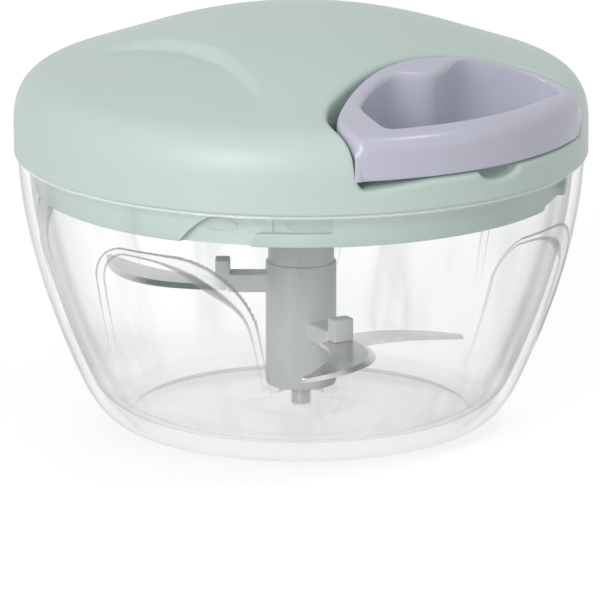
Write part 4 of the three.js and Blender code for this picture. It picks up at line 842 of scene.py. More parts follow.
    def mark(self, bowl):
        """Marks the panels' edges, the painted highlight spots and the rim on the outer wall, for the
        material's painted light and shade.
        """
        points = np.empty(len(bowl.data.vertices) * 3, np.float32)
        bowl.data.vertices.foreach_get("co", points)
        x, y, z = points.reshape(-1, 3).T / MM
        profile = self.outside()
        wall = np.interp(z, profile[:, 1], profile[:, 0])
        slope, share, across = self.panel(np.arctan2(y, x), z, wall)
        share = share * self.faint(z, self.FAINT_BELOW) * self.faint(across, self.FAINT_LEFT)
        outer = np.clip(np.hypot(x, y) - wall + self.LINE_DEPTH, 0, 1) * (z > self.PANEL_FADE[0])
        # where the material paints the panels' light and shade lines, how strong they are, the painted
        # highlight spot and the rim's painted glow
        marks = {
            "panel_slope": np.clip(slope / 2, 0, 1),
            "panel_depth": share * outer,
            "panel_gleam": self.nearness(across, z, self.PAINTED_HIGHLIGHT_SPOT) * outer,
            "rim_edge": climb(z, *self.RIM_PAINTED_GLOW_BAND),
            "wall_share": climb(z, self.FLOOR, self.FLOOR + self.WALL_START),
        }
        for name, values in marks.items():
            layer = bowl.data.attributes.new(name, "FLOAT", "POINT")
            layer.data.foreach_set("value", values.astype(np.float32))

    def lug(self, turn):
        """Oval lug that the lid's bayonet track turns over."""
        reach, height, length = self.LUG
        deselect()
        bpy.ops.mesh.primitive_cylinder_add(vertices=40, radius=MM, depth=length * MM)
        lug = bpy.context.object
        lug.matrix_world = (
            Matrix.Rotation(turn, 4, "Z")
            @ Matrix.Translation(Vector((reach, 0, height)) * MM)
            @ Matrix.Rotation(math.pi / 2, 4, "Y")
            @ Matrix.Diagonal((*self.LUG_HALF, 1, 1))
        )
        bpy.ops.object.transform_apply(location=True, rotation=True, scale=True)
        edges = {"limit_method": "ANGLE", "angle_limit": math.radians(60)}
        return modified(lug, "BEVEL", width=self.LUG_ROUND * MM, segments=3, **edges)

    def execute(self, context):
        rows = []
        for reach, height in self.outside():
            turns = self.columns(reach)
            slope, share, _ = self.panel(turns, height, reach)
            pressed = sizes().panel_depth / MM * smoothstep(slope) * share
            rows.append(self.ring(turns, reach - pressed, height))
        rows.extend(self.ring(self.columns(reach), reach, height) for reach, height in self.inside())
        bowl = skin("bowl_clear", looped([*rows, rows[0]]))
        for turn in self.LUG_TURNS:
            cut(bowl, self.lug(turn), operation="UNION")
        smooth(bowl, 50)
        self.mark(bowl)
        finished(bowl, "bowl", "clear_plastic", finish("clear plastic"), "bowl")
        return {"FINISHED"}


class CHOPPER_OT_lid(bpy.types.Operator):
    """Domed cover with the handle's recess, the finger notch, the scooped grip and the string's eye"""

    bl_idname = "chopper.lid"
    bl_label = "Lid cover"

    # the finger notch's reach, half width and depth, and from where to where the floor falls, and how far
    NOTCH = (5.0, 6.0, 2.5)
    FLOOR_FALL = (18.0, 33.0, 1.7)
    FALL_START, FALL_RUN = 9.0, 6.0
    SCOOP_TURN = math.radians(-50.5 - 42.6)
    SCOOP_START = 29.8
    SCOOP_CURVE_R = 72.0
    SCOOP_HALF = 35.0
    SCOOP_WIDTH = 25.0
    SCOOP_CREASE = 1.7
    CREASE_SHARE = 0.35
    MOUTH_PASSES, INNER_PASSES = 6, 3
    LEAST_LIP = 0.25
    LIP_ROOM = 0.1
    SIDE_TOLERANCE = 0.02
    # rows of the outside: the last row near the seam, the first near the mouth, and the last of all
    OUTSIDE_ROWS = (24, 90, 100)
    SEAM_RUN, MOUTH_RUN, RUN_MARGIN = 24.0, 8.0, 34.0
    INSIDE_ROWS = 44
    UNDER_SHARES = (0.04, 0.08, 0.12, 0.16, 0.2, 0.3, 0.5, 1)
    THIN_FLOOR = 0.9
    # the lid's edge at the seam: in from the side, and up
    EDGE_ROUND, EDGE_EASE, EDGE_BEVEL = 0.35, 0.1, 0.3
    FLOOR_FILLET = 0.5
    FLOOR_STEPS = (0.5, 1, 1.5, 2, 2.5, 3, 3.5, 4, 4.5, 5, 6, 8, 11, 15, 20, 30, 60)
    EYE = (33.0, 3.0, 6.0)

    def notch_drop(self, plan):
        """How far the finger notch, and the fall towards the left corner, lower the recess floor."""
        reach, width, depth = self.NOTCH
        past_side = np.hypot(*plan.T) - LID_R
        left = 1 - (past_side / reach) ** 2 - (plan[:, 1] / width) ** 2
        notch = depth * np.sqrt(np.clip(left, 0, 1)) * (plan[:, 0] > 0)
        start, end, fall = self.FLOOR_FALL
        ahead = smoothstep((past_side + self.FALL_START) / self.FALL_RUN)
        return notch + fall * climb(-plan[:, 1], start, end) * ahead

    def floor_z(self, plan):
        """Height of the recess floor."""
        return RECESS_Z - self.notch_drop(plan)

    def front_z(self, turns):
        """Height at which the recess floor meets the lid's side."""
        return self.floor_z(np.column_stack((np.cos(turns), np.sin(turns))) * LID_R)

    def scooped(self, points):
        """Lowers points of the dome by the depth of the grip, with a soft crease along its inner edge."""
        ahead = np.array((math.cos(self.SCOOP_TURN), math.sin(self.SCOOP_TURN)))
        away = points[:, :2] - (self.SCOOP_START + self.SCOOP_CURVE_R) * ahead
        reach = np.hypot(*away.T)
        turn = np.arctan2(away[:, 1], away[:, 0]) - self.SCOOP_TURN - math.pi
        along = np.remainder(turn + math.pi, 2 * math.pi) - math.pi
        along = along * self.SCOOP_CURVE_R / self.SCOOP_HALF
        share = (self.SCOOP_CURVE_R - reach) / self.SCOOP_WIDTH
        depth = sizes().scoop_depth / MM * np.clip(1 - along**2, 0, 1) * np.clip(1 - share, 0, 1) ** 2
        depth *= smoothstep(share * self.SCOOP_WIDTH / self.SCOOP_CREASE + self.CREASE_SHARE)
        points[:, 2] -= depth
        return points

    def mouth(self, dome):
        """The mouth of the recess and the start of its lip on the flat map, and the rows of the lip."""
        edge = handle_edge(HANDLE_GAP, LID_R)
        mouth = np.vstack((dome.flat(edge), front_line(dome, edge, self.front_z)))
        mouth = resampled(rounded(resampled(mouth), self.MOUTH_PASSES))
        corner = dome.lifted(mouth)
        at_front = np.hypot(*corner[:, :2].T) > LID_R - self.SIDE_TOLERANCE
        lip = sizes().lip_round / MM
        start = mouth + outward(mouth) * lip
        down = wall_direction(corner, outward(corner[:, :2]), at_front)
        room = np.clip(corner[:, 2] - RECESS_Z - self.LIP_ROOM, self.LEAST_LIP, lip)
        reach = np.where(at_front, lip, room)[:, None]
        return mouth, start, edge_rows(dome.lifted(start), corner, corner + down * reach, 5)

    def outside(self, dome, directions, start):
        """Rows from the seam up to the lip, closer together at both ends."""
        rim = self.circle_hit(directions, dome.end - self.EDGE_ROUND)
        length = np.hypot(*(rim - start).T) + self.RUN_MARGIN
        near, far = self.SEAM_RUN / length, self.MOUTH_RUN / length
        first, last, count = self.OUTSIDE_ROWS
        rows = []
        for k in range(count + 1):
            if k <= first:
                share = near * (k / first)
            elif k >= last:
                share = 1 - far * ((count - k) / (count - last))
            else:
                share = near + (1 - near - far) * ((k - first) / (last - first))
            rows.append(self.scooped(dome.lifted(rim + (start - rim) * share[:, None])))
        return rows

    def inside(self, dome, directions):
        """Rows from the seam over the inner dome to the back of the recess wall, and under its floor."""
        under_z = RECESS_Z - RECESS_FLOOR
        front_z = lambda turns: np.minimum(under_z, self.front_z(turns) - self.THIN_FLOOR)
        edge = handle_edge(HANDLE_GAP + RECESS_WALL, LID_R - LID_WALL)
        mouth = np.vstack((dome.flat(edge), front_line(dome, edge, front_z)))
        mouth = resampled(rounded(resampled(mouth), self.INNER_PASSES))
        rim = self.circle_hit(directions, dome.end)
        shares = np.linspace(0, 1, self.INSIDE_ROWS)
        rows = [self.scooped(dome.lifted(flat)) for flat in between(rim, mouth, shares)]
        under = rows[-1].copy()
        under[:, 2] = np.minimum(under[:, 2], under_z)
        rows.append(under)
        for row in between(under, np.append(LOOP_CENTRE, under_z), self.UNDER_SHARES):
            row[:, 2] = np.minimum(row[:, 2], self.floor_z(row[:, :2]) - self.THIN_FLOOR)
            rows.append(row)
        return rows

    def seam(self, row):
        """Rows of the lid's edge below a row of its side, thinner below the base plate."""
        turned = row[:, :2] / np.hypot(*row[:, :2].T)[:, None]
        edge_r = LID_R - LID_EDGE_WALL
        corners = (
            (edge_r, BASE_Z),
            (edge_r, SEAM_Z + self.EDGE_BEVEL),
            (edge_r + self.EDGE_BEVEL, SEAM_Z),
            (LID_R - self.EDGE_ROUND, SEAM_Z),
            (LID_R - self.EDGE_EASE, SEAM_Z + self.EDGE_EASE),
        )
        level = lambda height: np.full(LOOP_POINTS, height)
        return [np.column_stack((turned * reach, level(height))) for reach, height in corners]

    def recess(self, lip_end):
        """Rows of the recess wall and floor, from the end of the lip to the middle."""
        edge = lip_end.copy()
        edge[:, 2] = self.floor_z(edge[:, :2])
        wall = between(lip_end, edge + (0, 0, 1) * np.full(3, self.FLOOR_FILLET), np.linspace(0, 1, 9)[1:])
        above_lip = wall[-1][:, 2] > lip_end[:, 2]
        for row in wall:
            row[above_lip] = lip_end[above_lip]
        inwards = LOOP_CENTRE - edge[:, :2]
        depth = np.hypot(*inwards.T)[:, None]
        floor = []
        for step in self.FLOOR_STEPS:
            plan = edge[:, :2] + inwards * np.minimum(step / depth, 1)
            floor.append(np.column_stack((plan, self.floor_z(plan))))
        return wall + floor

    def execute(self, context):
        outer = Dome(0, SEAM_Z)
        mouth, start, lip = self.mouth(outer)
        directions = mouth - LOOP_CENTRE
        directions /= np.hypot(*directions.T)[:, None]
        outside = self.outside(outer, directions, start)
        inside = self.inside(Dome(LID_WALL, BASE_Z), directions)
        rows = [*inside[::-1], *self.seam(outside[0]), *outside, *lip[1:], *self.recess(lip[-1])]
        lid = skin("lid_cover", looped(rows))
        cut(lid, self.eye())
        smooth(lid, 34)
        placed(lid, PULL_TURN)
        modified(lid, "WEIGHTED_NORMAL", keep_sharp=True, weight=80)
        finished(lid, "lid", "mint_plastic", finish("mint plastic"), "top_cover")
        return {"FINISHED"}

    def circle_hit(self, directions, radius):
        """Where rays from the recess's middle meet a circle round the lid's middle."""
        along = directions @ LOOP_CENTRE
        ahead = -along + np.sqrt(along**2 + radius**2 - LOOP_CENTRE @ LOOP_CENTRE)
        return LOOP_CENTRE + directions * ahead[:, None]

    def eye(self):
        """Cutter of the hole that the string guide sits in."""
        place, radius, length = (size * MM for size in self.EYE)
        spot = {"location": (place, 0, STRING_Z * MM), "rotation": (0, math.pi / 2, 0)}
        deselect()
        bpy.ops.mesh.primitive_cylinder_add(vertices=48, radius=radius, depth=length, **spot)
        bpy.ops.object.transform_apply(location=True, rotation=True, scale=True)
        return bpy.context.object


class CHOPPER_OT_handle(bpy.types.Operator):
    """Ring handle that follows the dome, with rounded edges, a finger hole and the string's cell"""

    bl_idname = "chopper.handle"
    bl_label = "Handle"

    TUCK = 1.2
    SHOULDER_R = 62.0
    SIDE_RISE = 13.3
    HOLE_ROUND = 1.3
    FRONT_ROUND = 0.5
    # corners: crisp at the front and softer beyond a place, over a run
    CRISP_PASSES, SOFT_PASSES, HOLE_PASSES = 5, 29, 10
    SOFT_FROM, SOFT_RUN = 60.0, 12.0
    # the front: within this of the lid's side, and this far above the handle's foot
    FRONT_DEPTH, FRONT_RISE = 0.3, 1.2
    ROOM_SHARE = 0.4
    # pockets from below: start, end, half width and height above the string
    CELL = (37.0, 41.0, 2.4, 3.7)
    STRING_HOLE = (33.0, 37.5, 1.2, 1.2)
    OVERRUN = 2.0

    def eased(self, values):
        """Radii round the outline, each no larger than its neighbours' and smoothly changing."""
        for _ in range(4):
            values = np.minimum(values, np.minimum(np.roll(values, 1), np.roll(values, -1)))
        return rounded(values, 8)[:, None]

    def outline(self, dome):
        """The handle's outline on the flat map."""
        edge = handle_edge(0, LID_R, self.TUCK)
        front = front_line(dome, edge, lambda turns: turns * 0 + HANDLE_Z)
        crisp = rounded(resampled(np.vstack((dome.flat(edge), front))), self.CRISP_PASSES)
        soft = rounded(crisp, self.SOFT_PASSES)
        share = smoothstep((self.SOFT_FROM - crisp @ (1, 0)) / self.SOFT_RUN)[:, None]
        return resampled(crisp + (soft - crisp) * share)

    def execute(self, context):
        dome = Dome(0, SEAM_Z, self.SHOULDER_R, self.SIDE_RISE)
        outline = self.outline(dome)
        hole = dome.flat(resampled(rounded(resampled(finger_hole()), self.HOLE_PASSES)))
        corner, hole_corner = dome.lifted(outline), dome.lifted(hole)
        corner[:, 2] = np.maximum(corner[:, 2], HANDLE_Z)
        past_side = np.hypot(*corner[:, :2].T) > LID_R - self.FRONT_DEPTH
        at_front = past_side & (corner[:, 2] < HANDLE_Z + self.FRONT_RISE)
        # radii of the rounded edges, within the room between the outline and the hole
        apart = np.linalg.norm(outline[:, None] - hole[None], axis=2) * self.ROOM_SHARE
        edge_r = np.where(at_front, self.FRONT_ROUND, sizes().handle_round / MM)
        soft = self.eased(np.minimum(edge_r, apart.min(axis=1)))
        hole_soft = self.eased(np.minimum(self.HOLE_ROUND, apart.min(axis=0)))
        flat_start, flat_hole = outline - outward(outline) * soft, hole + outward(hole) * hole_soft
        # outer edge, top, and the finger hole's edge
        side = corner + wall_direction(corner, outward(corner[:, :2]), at_front) * soft
        side[:, 2] = np.maximum(side[:, 2], HANDLE_Z)
        outer_rows = edge_rows(side, corner, dome.lifted(flat_start), 6)
        top = [dome.lifted(flat) for flat in between(flat_start, flat_hole, np.linspace(0, 1, 26)[1:-1])]
        hole_side = hole_corner + np.tile((0.0, 0.0, -1.0), (LOOP_POINTS, 1)) * hole_soft
        hole_rows = edge_rows(dome.lifted(flat_hole), hole_corner, hole_side, 6)
        # walls and underside
        hole_foot, foot = hole_rows[-1].copy(), side.copy()
        hole_foot[:, 2] = foot[:, 2] = HANDLE_Z
        shares = np.linspace(0, 1, 9)
        walls = [
            *between(hole_rows[-1], hole_foot, shares[1:]),
            *between(hole_foot, foot, shares[1:-1]),
            *between(foot, side, shares[:-1]),
        ]
        handle = skin("handle_ring", looped([*outer_rows, *top, *hole_rows, *walls, outer_rows[0]]))
        cut(handle, self.pocket(*self.CELL), self.pocket(*self.STRING_HOLE))
        smooth(handle, 34)
        placed(handle, PULL_TURN)
        modified(handle, "WEIGHTED_NORMAL", keep_sharp=True, weight=80)
        finished(handle, "handle", "lilac_plastic", finish("lilac plastic"), "handle")
        return {"FINISHED"}

    def pocket(self, start, end, half, rise):
        """Cutter of a straight pocket from below."""
        top, bottom = STRING_Z + rise, HANDLE_Z - self.OVERRUN
        return block(start, end, half, bottom, top)


class CHOPPER_OT_lid_base(bpy.types.Operator):
    """Lid base with its bayonet tracks, sleeve and ribs, and the seal ring round it"""

    bl_idname = "chopper.lid_base"
    bl_label = "Lid base and seal"

    SKIRT = (56.6, 60.4, 53.7)
    SKIRT_TIP = (0.5, 0.15)
    PLATE_R = 62.5
    SLEEVE = (6.3, 8.5, 55.8)
    BEVEL, FILLET = 0.4, 0.6
    # tracks: how deep they run, past the skirt and below its edge, and the lug that runs in them
    FLOOR_R = 58.6
    OUT, BELOW = 0.6, 0.5
    LUG_Z = 58.6
    LUG_HALF = (4.0, 1.4)
    CLEAR = 0.35
    POCKET_DEPTH, POCKET_GROW = 0.4, 0.3
    # turns in degrees from where the lid is set on, and of the ramp's and the lip's curves
    ENTRY_TURN = -17.0
    LOCK = 18.0
    STOP = 5.5
    RAMP_FOOT, RAMP_PULL = 9.5, 5.2
    LIP_RUN, LIP_PULL, LIP_ROUND = 6.5, 0.3, 2.2
    # click ribs: turn, half width, half height, depth in the floor and rise above it
    DETENT_TURN = 10.5
    DETENT = (0.45, 1.75, 0.4, 0.35)
    RIBS = 8
    RIB = (1.6, 62.8, 4.0, 0.4)
    SEAL = (60.7, 63.0, 62.0, 63.5, 0.5)
    SEAL_ROUND = 0.2
    SEAL_LIP = (0.1, 0.3)

    def on_skirt(self, name, outline, inner, outer, middle):
        """Closed body between two radii over an outline of turn in degrees from the front and height."""
        turns = np.radians(outline[:, 0] - 90)
        angle = math.radians(middle[0] - 90)
        rows = []
        for reach in (inner, outer):
            ring = np.column_stack((np.cos(turns) * reach, np.sin(turns) * reach, outline[:, 1]))
            centre = np.tile((math.cos(angle) * reach, math.sin(angle) * reach, middle[1]), (len(ring), 1))
            rows += [centre, ring] if reach == inner else [ring, centre]
        return skin(name, looped(rows))

    def arc(self, start, end, height, count=24):
        """Points of turn and height along a level line."""
        return np.column_stack((np.linspace(start, end, count), np.full(count, height)))

    def oval(self, turn, grow):
        """The lug's outline grown by a margin, half of it upwards."""
        around = np.linspace(0, 2 * math.pi, 48, endpoint=False)
        wide = math.degrees((self.LUG_HALF[0] + grow) / self.SKIRT[1])
        high = self.LUG_HALF[1] + grow / 2
        return np.column_stack((turn + wide * np.cos(around), self.LUG_Z + high * np.sin(around)))

    def track(self, offset):
        """Cutters of one track: the run above the lip, the entry with its curved ramp and the oval seat."""
        top = self.LUG_Z + self.LUG_HALF[1] + self.CLEAR
        lip = self.LUG_Z - self.LUG_HALF[1] - self.CLEAR
        start = self.ENTRY_TURN + offset
        locked = start + self.LOCK
        outer = self.SKIRT[1] + self.OUT
        edge, low = self.SKIRT[2], self.SKIRT[2] - self.BELOW
        end = locked + self.STOP
        run = np.vstack((self.arc(start, end, lip), self.arc(end, start, top)))
        foot = start - self.RAMP_FOOT
        ramp = curve((start, top), (foot + self.RAMP_PULL, top), (foot, edge), 24)
        corner = start + self.LIP_RUN
        inner_end = corner + self.LIP_ROUND
        lip_corner = curve((corner, edge), (corner + self.LIP_PULL, lip), (inner_end, lip), 10)
        under, inner = self.arc(foot, corner, low, 16), [(inner_end, lip), (inner_end, top)]
        entry = np.vstack((under, lip_corner, inner, ramp))
        seat = self.oval(locked, self.POCKET_GROW)
        return (
            self.on_skirt("run", run, self.FLOOR_R, outer, ((start + end) / 2, self.LUG_Z)),
            self.on_skirt("entry", entry, self.FLOOR_R, outer, (start, low + 2 * self.BELOW)),
            self.on_skirt("seat", seat, self.FLOOR_R - self.POCKET_DEPTH, outer, (locked, self.LUG_Z)),
        )

    def detent(self, offset):
        """Click rib that the lug passes before its seat."""
        turn = self.ENTRY_TURN + offset + self.DETENT_TURN
        half, rise, sunk, proud = self.DETENT
        corners = ((-1, -1), (1, -1), (1, 1), (-1, 1))
        box = np.array([(turn + side * half, self.LUG_Z + up * rise) for side, up in corners])
        return self.on_skirt("detent", box, self.FLOOR_R - sunk, self.FLOOR_R + proud, (turn, self.LUG_Z))

    def rib(self, turn):
        """Rib under the plate, from the sleeve to the skirt."""
        width, middle, height, overlap = self.RIB
        inner, outer = self.SLEEVE[1] - overlap, self.SKIRT[0] + overlap
        return placed(block(inner, outer, width / 2, middle - height / 2, middle + height / 2), turn)

    def base(self):
        """Plate with its sleeve and skirt, the ribs and the tracks."""
        inner, outer, low = self.SKIRT
        bore, sleeve, drop = self.SLEEVE
        bevel, fillet, (tip, tip_bevel) = self.BEVEL, self.FILLET, self.SKIRT_TIP
        profile = [
            (bore, drop + bevel),
            (bore + bevel, drop),
            (sleeve - bevel, drop),
            (sleeve, drop + bevel),
            (sleeve, BASE_Z - fillet),
            (sleeve + fillet, BASE_Z),
            (inner - fillet, BASE_Z),
            (inner, BASE_Z - fillet),
            (inner, low + bevel),
            (inner + bevel, low),
            (outer - tip, low),
            (outer - tip_bevel, low + tip_bevel),
            (outer, low + tip),
            (outer, BASE_Z),
            (self.PLATE_R, BASE_Z),
            (self.PLATE_R, BASE_TOP),
            (bore, BASE_TOP),
            (bore, drop + bevel),
        ]
        base = lathe("lid_base_moulded", profile, 288)
        for i in range(self.RIBS):
            cut(base, self.rib(2 * math.pi * (i + 0.5) / self.RIBS + PULL_TURN), operation="UNION")
        for offset in range(0, 360, 90):
            cut(base, *self.track(offset))
            cut(base, self.detent(offset), operation="UNION")
        smooth(base, 28)
        # the lid base takes the copy of the mint that is painted lighter
        finished(base, "lid", "mint_plastic", finish("mint plastic painted lighter"), "lid_base")

    def seal(self):
        """Seal ring with a lip that presses on the cover."""
        inner, outer, low, high, lip = self.SEAL
        middle, ease, (near, far) = (inner + outer) / 2, self.SEAL_ROUND, self.SEAL_LIP
        profile = [
            (inner + ease, low),
            (outer - ease, low),
            (outer, low + ease),
            (outer, high - lip - ease),
            (outer - ease, high - lip),
            (middle, high - lip),
            (middle - near, high - near),
            (middle - far, high),
            (inner + ease, high),
            (inner, high - ease),
            (inner, low + ease),
            (inner + ease, low),
        ]
        seal = smooth(lathe("seal_ring_soft", profile, 192), 50)
        finished(seal, "seal", "silicone", finish("silicone"), "seal_ring")

    def execute(self, context):
        self.base()
        self.seal()
        return {"FINISHED"}


class CHOPPER_OT_blades(bpy.types.Operator):
    """Blade column with its three arms, and the three sickle blades"""

    bl_idname = "chopper.blades"
    bl_label = "Column and blades"

    COLUMN_R = 8.05
    COLLAR_R = 7.5
    BOTTOM, STEP, TOP = 7.3, 36.0, 50.0
    STEP_FALL = 0.05
    SOCKET = (5.9, 41.2)
    SOCKET_BEVEL = 0.3
    PIN = (2.3, 24.3)
    # rounded ends of the column: in from the side and along it
    BOTTOM_ROUND = ((0.5, 0.0), (0.15, 0.15), (0.0, 0.5))
    TOP_ROUND = ((0.0, 0.4), (0.12, 0.1), (0.4, 0.0))
    # arms: start, reach, width, height and drop below the blade; tabs on them: start, end and height
    ARM = (4.0, 16.6, 5.6, 4.2, 1.0)
    TAB = (16.1, 19.5, 5.4)
    BAR_ROUND = 0.45
    # what is cut off the arms inside the column: its radius, and how far it runs past them
    CORE = (6.4, 1.0)
    THICK = 1.0
    TANG = 3.4
    TANG_START, TANG_GAP = 9.0, 0.01
    HEEL = 9.5
    BEVEL = 1.8
    EDGE = (0.1, 0.12)  # thickness along the tang and along the ground edge
    TIP_HALF = 0.5
    TIP_BEVEL_SHARE = 0.35
    STEPS = 40
    SWEEP = math.radians(29.5)
    # name, height, turn in degrees and the tip's radius
    BLADES = (("upper", 30.0, 180.0, 51.2), ("middle", 20.0, 300.0, 47.9), ("lower", 11.5, 60.0, 43.5))

    def bar(self, start, end, half, low, high, turn):
        """Bar out from the column, with rounded edges."""
        bar = block(start, end, half, low, high)
        modified(bar, "BEVEL", width=self.BAR_ROUND * MM, segments=3, limit_method="ANGLE")
        return placed(bar, math.radians(turn))

    def column(self):
        """Column with its bore for the spindle and its socket, and the three arms."""
        (pin, pin_top), (socket, socket_floor) = self.PIN, self.SOCKET
        bevel = self.SOCKET_BEVEL
        profile = [
            (0, pin_top),
            (pin, pin_top),
            (pin, self.BOTTOM),
            *[(self.COLUMN_R - inset, self.BOTTOM + rise) for inset, rise in self.BOTTOM_ROUND],
            *[(self.COLUMN_R - inset, self.STEP - drop) for inset, drop in self.TOP_ROUND],
            (self.COLLAR_R, self.STEP + self.STEP_FALL),
            *[(self.COLLAR_R - inset, self.TOP - drop) for inset, drop in self.TOP_ROUND],
            (socket + bevel, self.TOP),
            (socket, self.TOP - bevel),
            (socket, socket_floor),
            (0, socket_floor),
        ]
        column = lathe("blade_column", profile, 96)
        start, reach, width, height, drop = self.ARM
        tab_start, tab_end, tab_height = self.TAB
        for _, z, turn, _ in self.BLADES:
            low, high, seat = z - drop, z - drop + height, z + self.THICK
            arm = self.bar(start, reach, width / 2, low, high, turn)
            tab = self.bar(tab_start, tab_end, width / 2 - SEAT_GAP, seat, seat + tab_height, turn)
            core, past = self.CORE
            under, over = low - past, high + past
            cut(arm, lathe("core", [(0, under), (core, under), (core, over), (0, over)], 48))
            cut(column, arm, tab, operation="UNION")
        smooth(column, 40)
        finished(column, "blades", "grey_plastic", finish("grey plastic"), "blade_holder")

    def blade(self, name, z, turn, tip_r):
        """Sickle blade drawn by stations from its tang to its tip, ground along its leading edge."""
        heel, wide = self.ARM[1] + SEAT_GAP, self.HEEL / 2
        tip_x, tip_y = tip_r * math.cos(self.SWEEP), -tip_r * math.sin(self.SWEEP)
        half, top = self.TANG / 2, z + self.THICK
        ended = lambda start, pull, end: np.vstack((curve(start, pull, end, self.STEPS), [end]))
        back = ended((heel, -wide), ((heel + tip_x) / 2, -wide), (tip_x - self.TIP_HALF, tip_y))

        def lead(bevel):
            """Line along the leading edge, set back by the width of the ground bevel."""
            end = (tip_x + self.TIP_HALF, tip_y + bevel * self.TIP_BEVEL_SHARE)
            return ended((heel, wide - bevel), (tip_x - bevel, wide - bevel), end)

        tang_edge, edge_thick = self.EDGE
        stations = []
        for x in (self.TANG_START, heel - self.TANG_GAP):
            side = [(x, half, z), (x, half, z + tang_edge), (x, half, top)]
            stations.append([(x, -half, z), *side, (x, -half, top)])
        for b, e, l in zip(back, lead(0), lead(self.BEVEL)):
            stations.append([(*b, z), (*e, z), (*e, z + edge_thick), (*l, top), (*b, top)])
        rows = [np.array(row) for row in stations]
        ends = [np.tile(row.mean(axis=0), (len(row), 1)) for row in (rows[0], rows[-1])]
        blade = skin(f"blade_{name}_ground", looped([ends[0], *rows, ends[1]]))
        placed(blade, math.radians(turn))
        smooth(blade, 20)
        finished(blade, "blades", "blade_steel", finish("blade steel"), f"blade_{name}")

    def execute(self, context):
        self.column()
        for blade in self.BLADES:
            self.blade(*blade)
        return {"FINISHED"}


class CHOPPER_OT_string(bpy.types.Operator):
    """Braided string: the turns on the reel, the taut stretch to the handle and the knot in its cell"""

    bl_idname = "chopper.string"
    bl_label = "String"

    RADIUS = 0.92
    BRAID = (4, 1.6)  # strands round it, and the length of one crossing
    WIND_R = 20.3
    WIND_TOP = 81.5
    WIND_PITCH = 2.35
    WIND_TURNS = 2.5
    WIND_STEPS = 200
    LEAVE = math.radians(-48.9)
    EYE = (30.6, 34.3)  # from where to where the guide holds it
    FREE_STEPS = (25, 17)
    KNOT_U = 39.0
    KNOT_R = 1.7
    KNOT_STRAND = 0.74
    KNOT_LOOPS = (0.78, 0.36)  # reach of the loops, and how far it swings
    KNOT_DEPTH = 0.72
    KNOT_STEPS = 160

    def cord(self, name, points, radius, sides=16):
        """Tube along a line of points with its ends closed, mapped along and round it."""
        points = np.array(points, float)
        along = np.gradient(points, axis=0)
        along /= np.linalg.norm(along, axis=1)[:, None]
        side = np.cross((0, 0, 1), along)
        side /= np.linalg.norm(side, axis=1)[:, None]
        up = np.cross(along, side)
        turn = np.linspace(0, 2 * math.pi, sides + 1)
        rows = []
        for p, s, u in zip(points, side, up):
            rows.append(p + radius * (np.outer(np.cos(turn), s) + np.outer(np.sin(turn), u)))
        ends = [np.tile(point, (sides + 1, 1)) for point in (points[0], points[-1])]
        tube = skin(name, [ends[0], *rows, ends[1]])
        length = np.sum(np.linalg.norm(np.diff(points, axis=0), axis=1))
        strands, crossing = self.BRAID
        scale = Vector((strands, round(length / crossing)))
        for loop in tube.data.uv_layers.active.data:
            loop.uv = Vector((loop.uv.x * scale.x, loop.uv.y * scale.y))
        return smooth(tube, 60)

    def winding(self):
        """The turns on the reel, down to where the string leaves it."""
        gap = SEAT_GAP / self.WIND_R
        line = []
        for share in np.linspace(0, 1, self.WIND_STEPS + 1):
            turn = self.LEAVE - gap - 2 * math.pi * self.WIND_TURNS * (1 - share)
            height = self.WIND_TOP - self.WIND_PITCH * self.WIND_TURNS * share
            line.append((self.WIND_R * math.cos(turn), self.WIND_R * math.sin(turn), height))
        turns = placed(self.cord("string_turns", line, self.RADIUS), PULL_TURN)
        finished(turns, "reel", "string", finish("string"), "string_winding")

    def stretch(self):
        """The taut stretch from the reel through the guide's eye to the knot."""
        start = np.array((self.WIND_R * math.cos(self.LEAVE), self.WIND_R * math.sin(self.LEAVE), STRING_Z))
        eye = np.array((self.EYE[0], 0, STRING_Z))
        end = np.array((self.KNOT_U - self.KNOT_R - SEAT_GAP, 0, STRING_Z))
        to_eye, to_end = (np.linspace(0, 1, steps) for steps in self.FREE_STEPS)
        line = between(start, eye, to_eye) + between(eye, end, to_end[1:])
        free = placed(self.cord("string_free", line, self.RADIUS), PULL_TURN)
        free.data.materials.append(finish("string"))
        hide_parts("pull_string")
        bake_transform(free)

    def knot(self):
        """Knot: one strand laid in crossing loops round its middle."""
        turn = np.linspace(0, 2 * math.pi, self.KNOT_STEPS)
        middle, swing = self.KNOT_LOOPS
        reach = middle + swing * np.cos(3 * turn)
        depth = self.KNOT_U + self.KNOT_DEPTH * np.sin(3 * turn)
        line = np.column_stack((depth, reach * np.cos(2 * turn), STRING_Z + reach * np.sin(2 * turn)))
        knot = self.cord("string_knot_tied", line, self.KNOT_STRAND, 14)
        place, radius = (self.KNOT_U * MM, 0, STRING_Z * MM), self.KNOT_R * MM
        deselect()
        bpy.ops.mesh.primitive_uv_sphere_add(segments=32, ring_count=20, radius=radius, location=place)
        ball = bpy.context.object
        bpy.ops.object.transform_apply(location=True, rotation=True, scale=True)
        cut(knot, ball, operation="UNION", use_self=True)
        placed(knot, PULL_TURN)
        finished(smooth(knot, 60), "handle", "string", finish("string"), "string_knot")

    def execute(self, context):
        self.winding()
        self.stretch()
        self.knot()
        return {"FINISHED"}


class CHOPPER_OT_small_pieces(bpy.types.Operator):
    """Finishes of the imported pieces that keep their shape"""

    bl_idname = "chopper.small_pieces"
    bl_label = "Small pieces"

    def execute(self, context):
        slots = {part["node"]: part["material_slot"] for part in frame["record"]["subparts"]}
        for name, node in frame["nodes"].items():
            plain = "white plastic" if slots[name] == "string" else slots[name].replace("_", " ")
            node.data.materials.clear()
            node.data.materials.append(finish(plain))
            if not node.hide_render:
                smooth(node, 30)
        return {"FINISHED"}


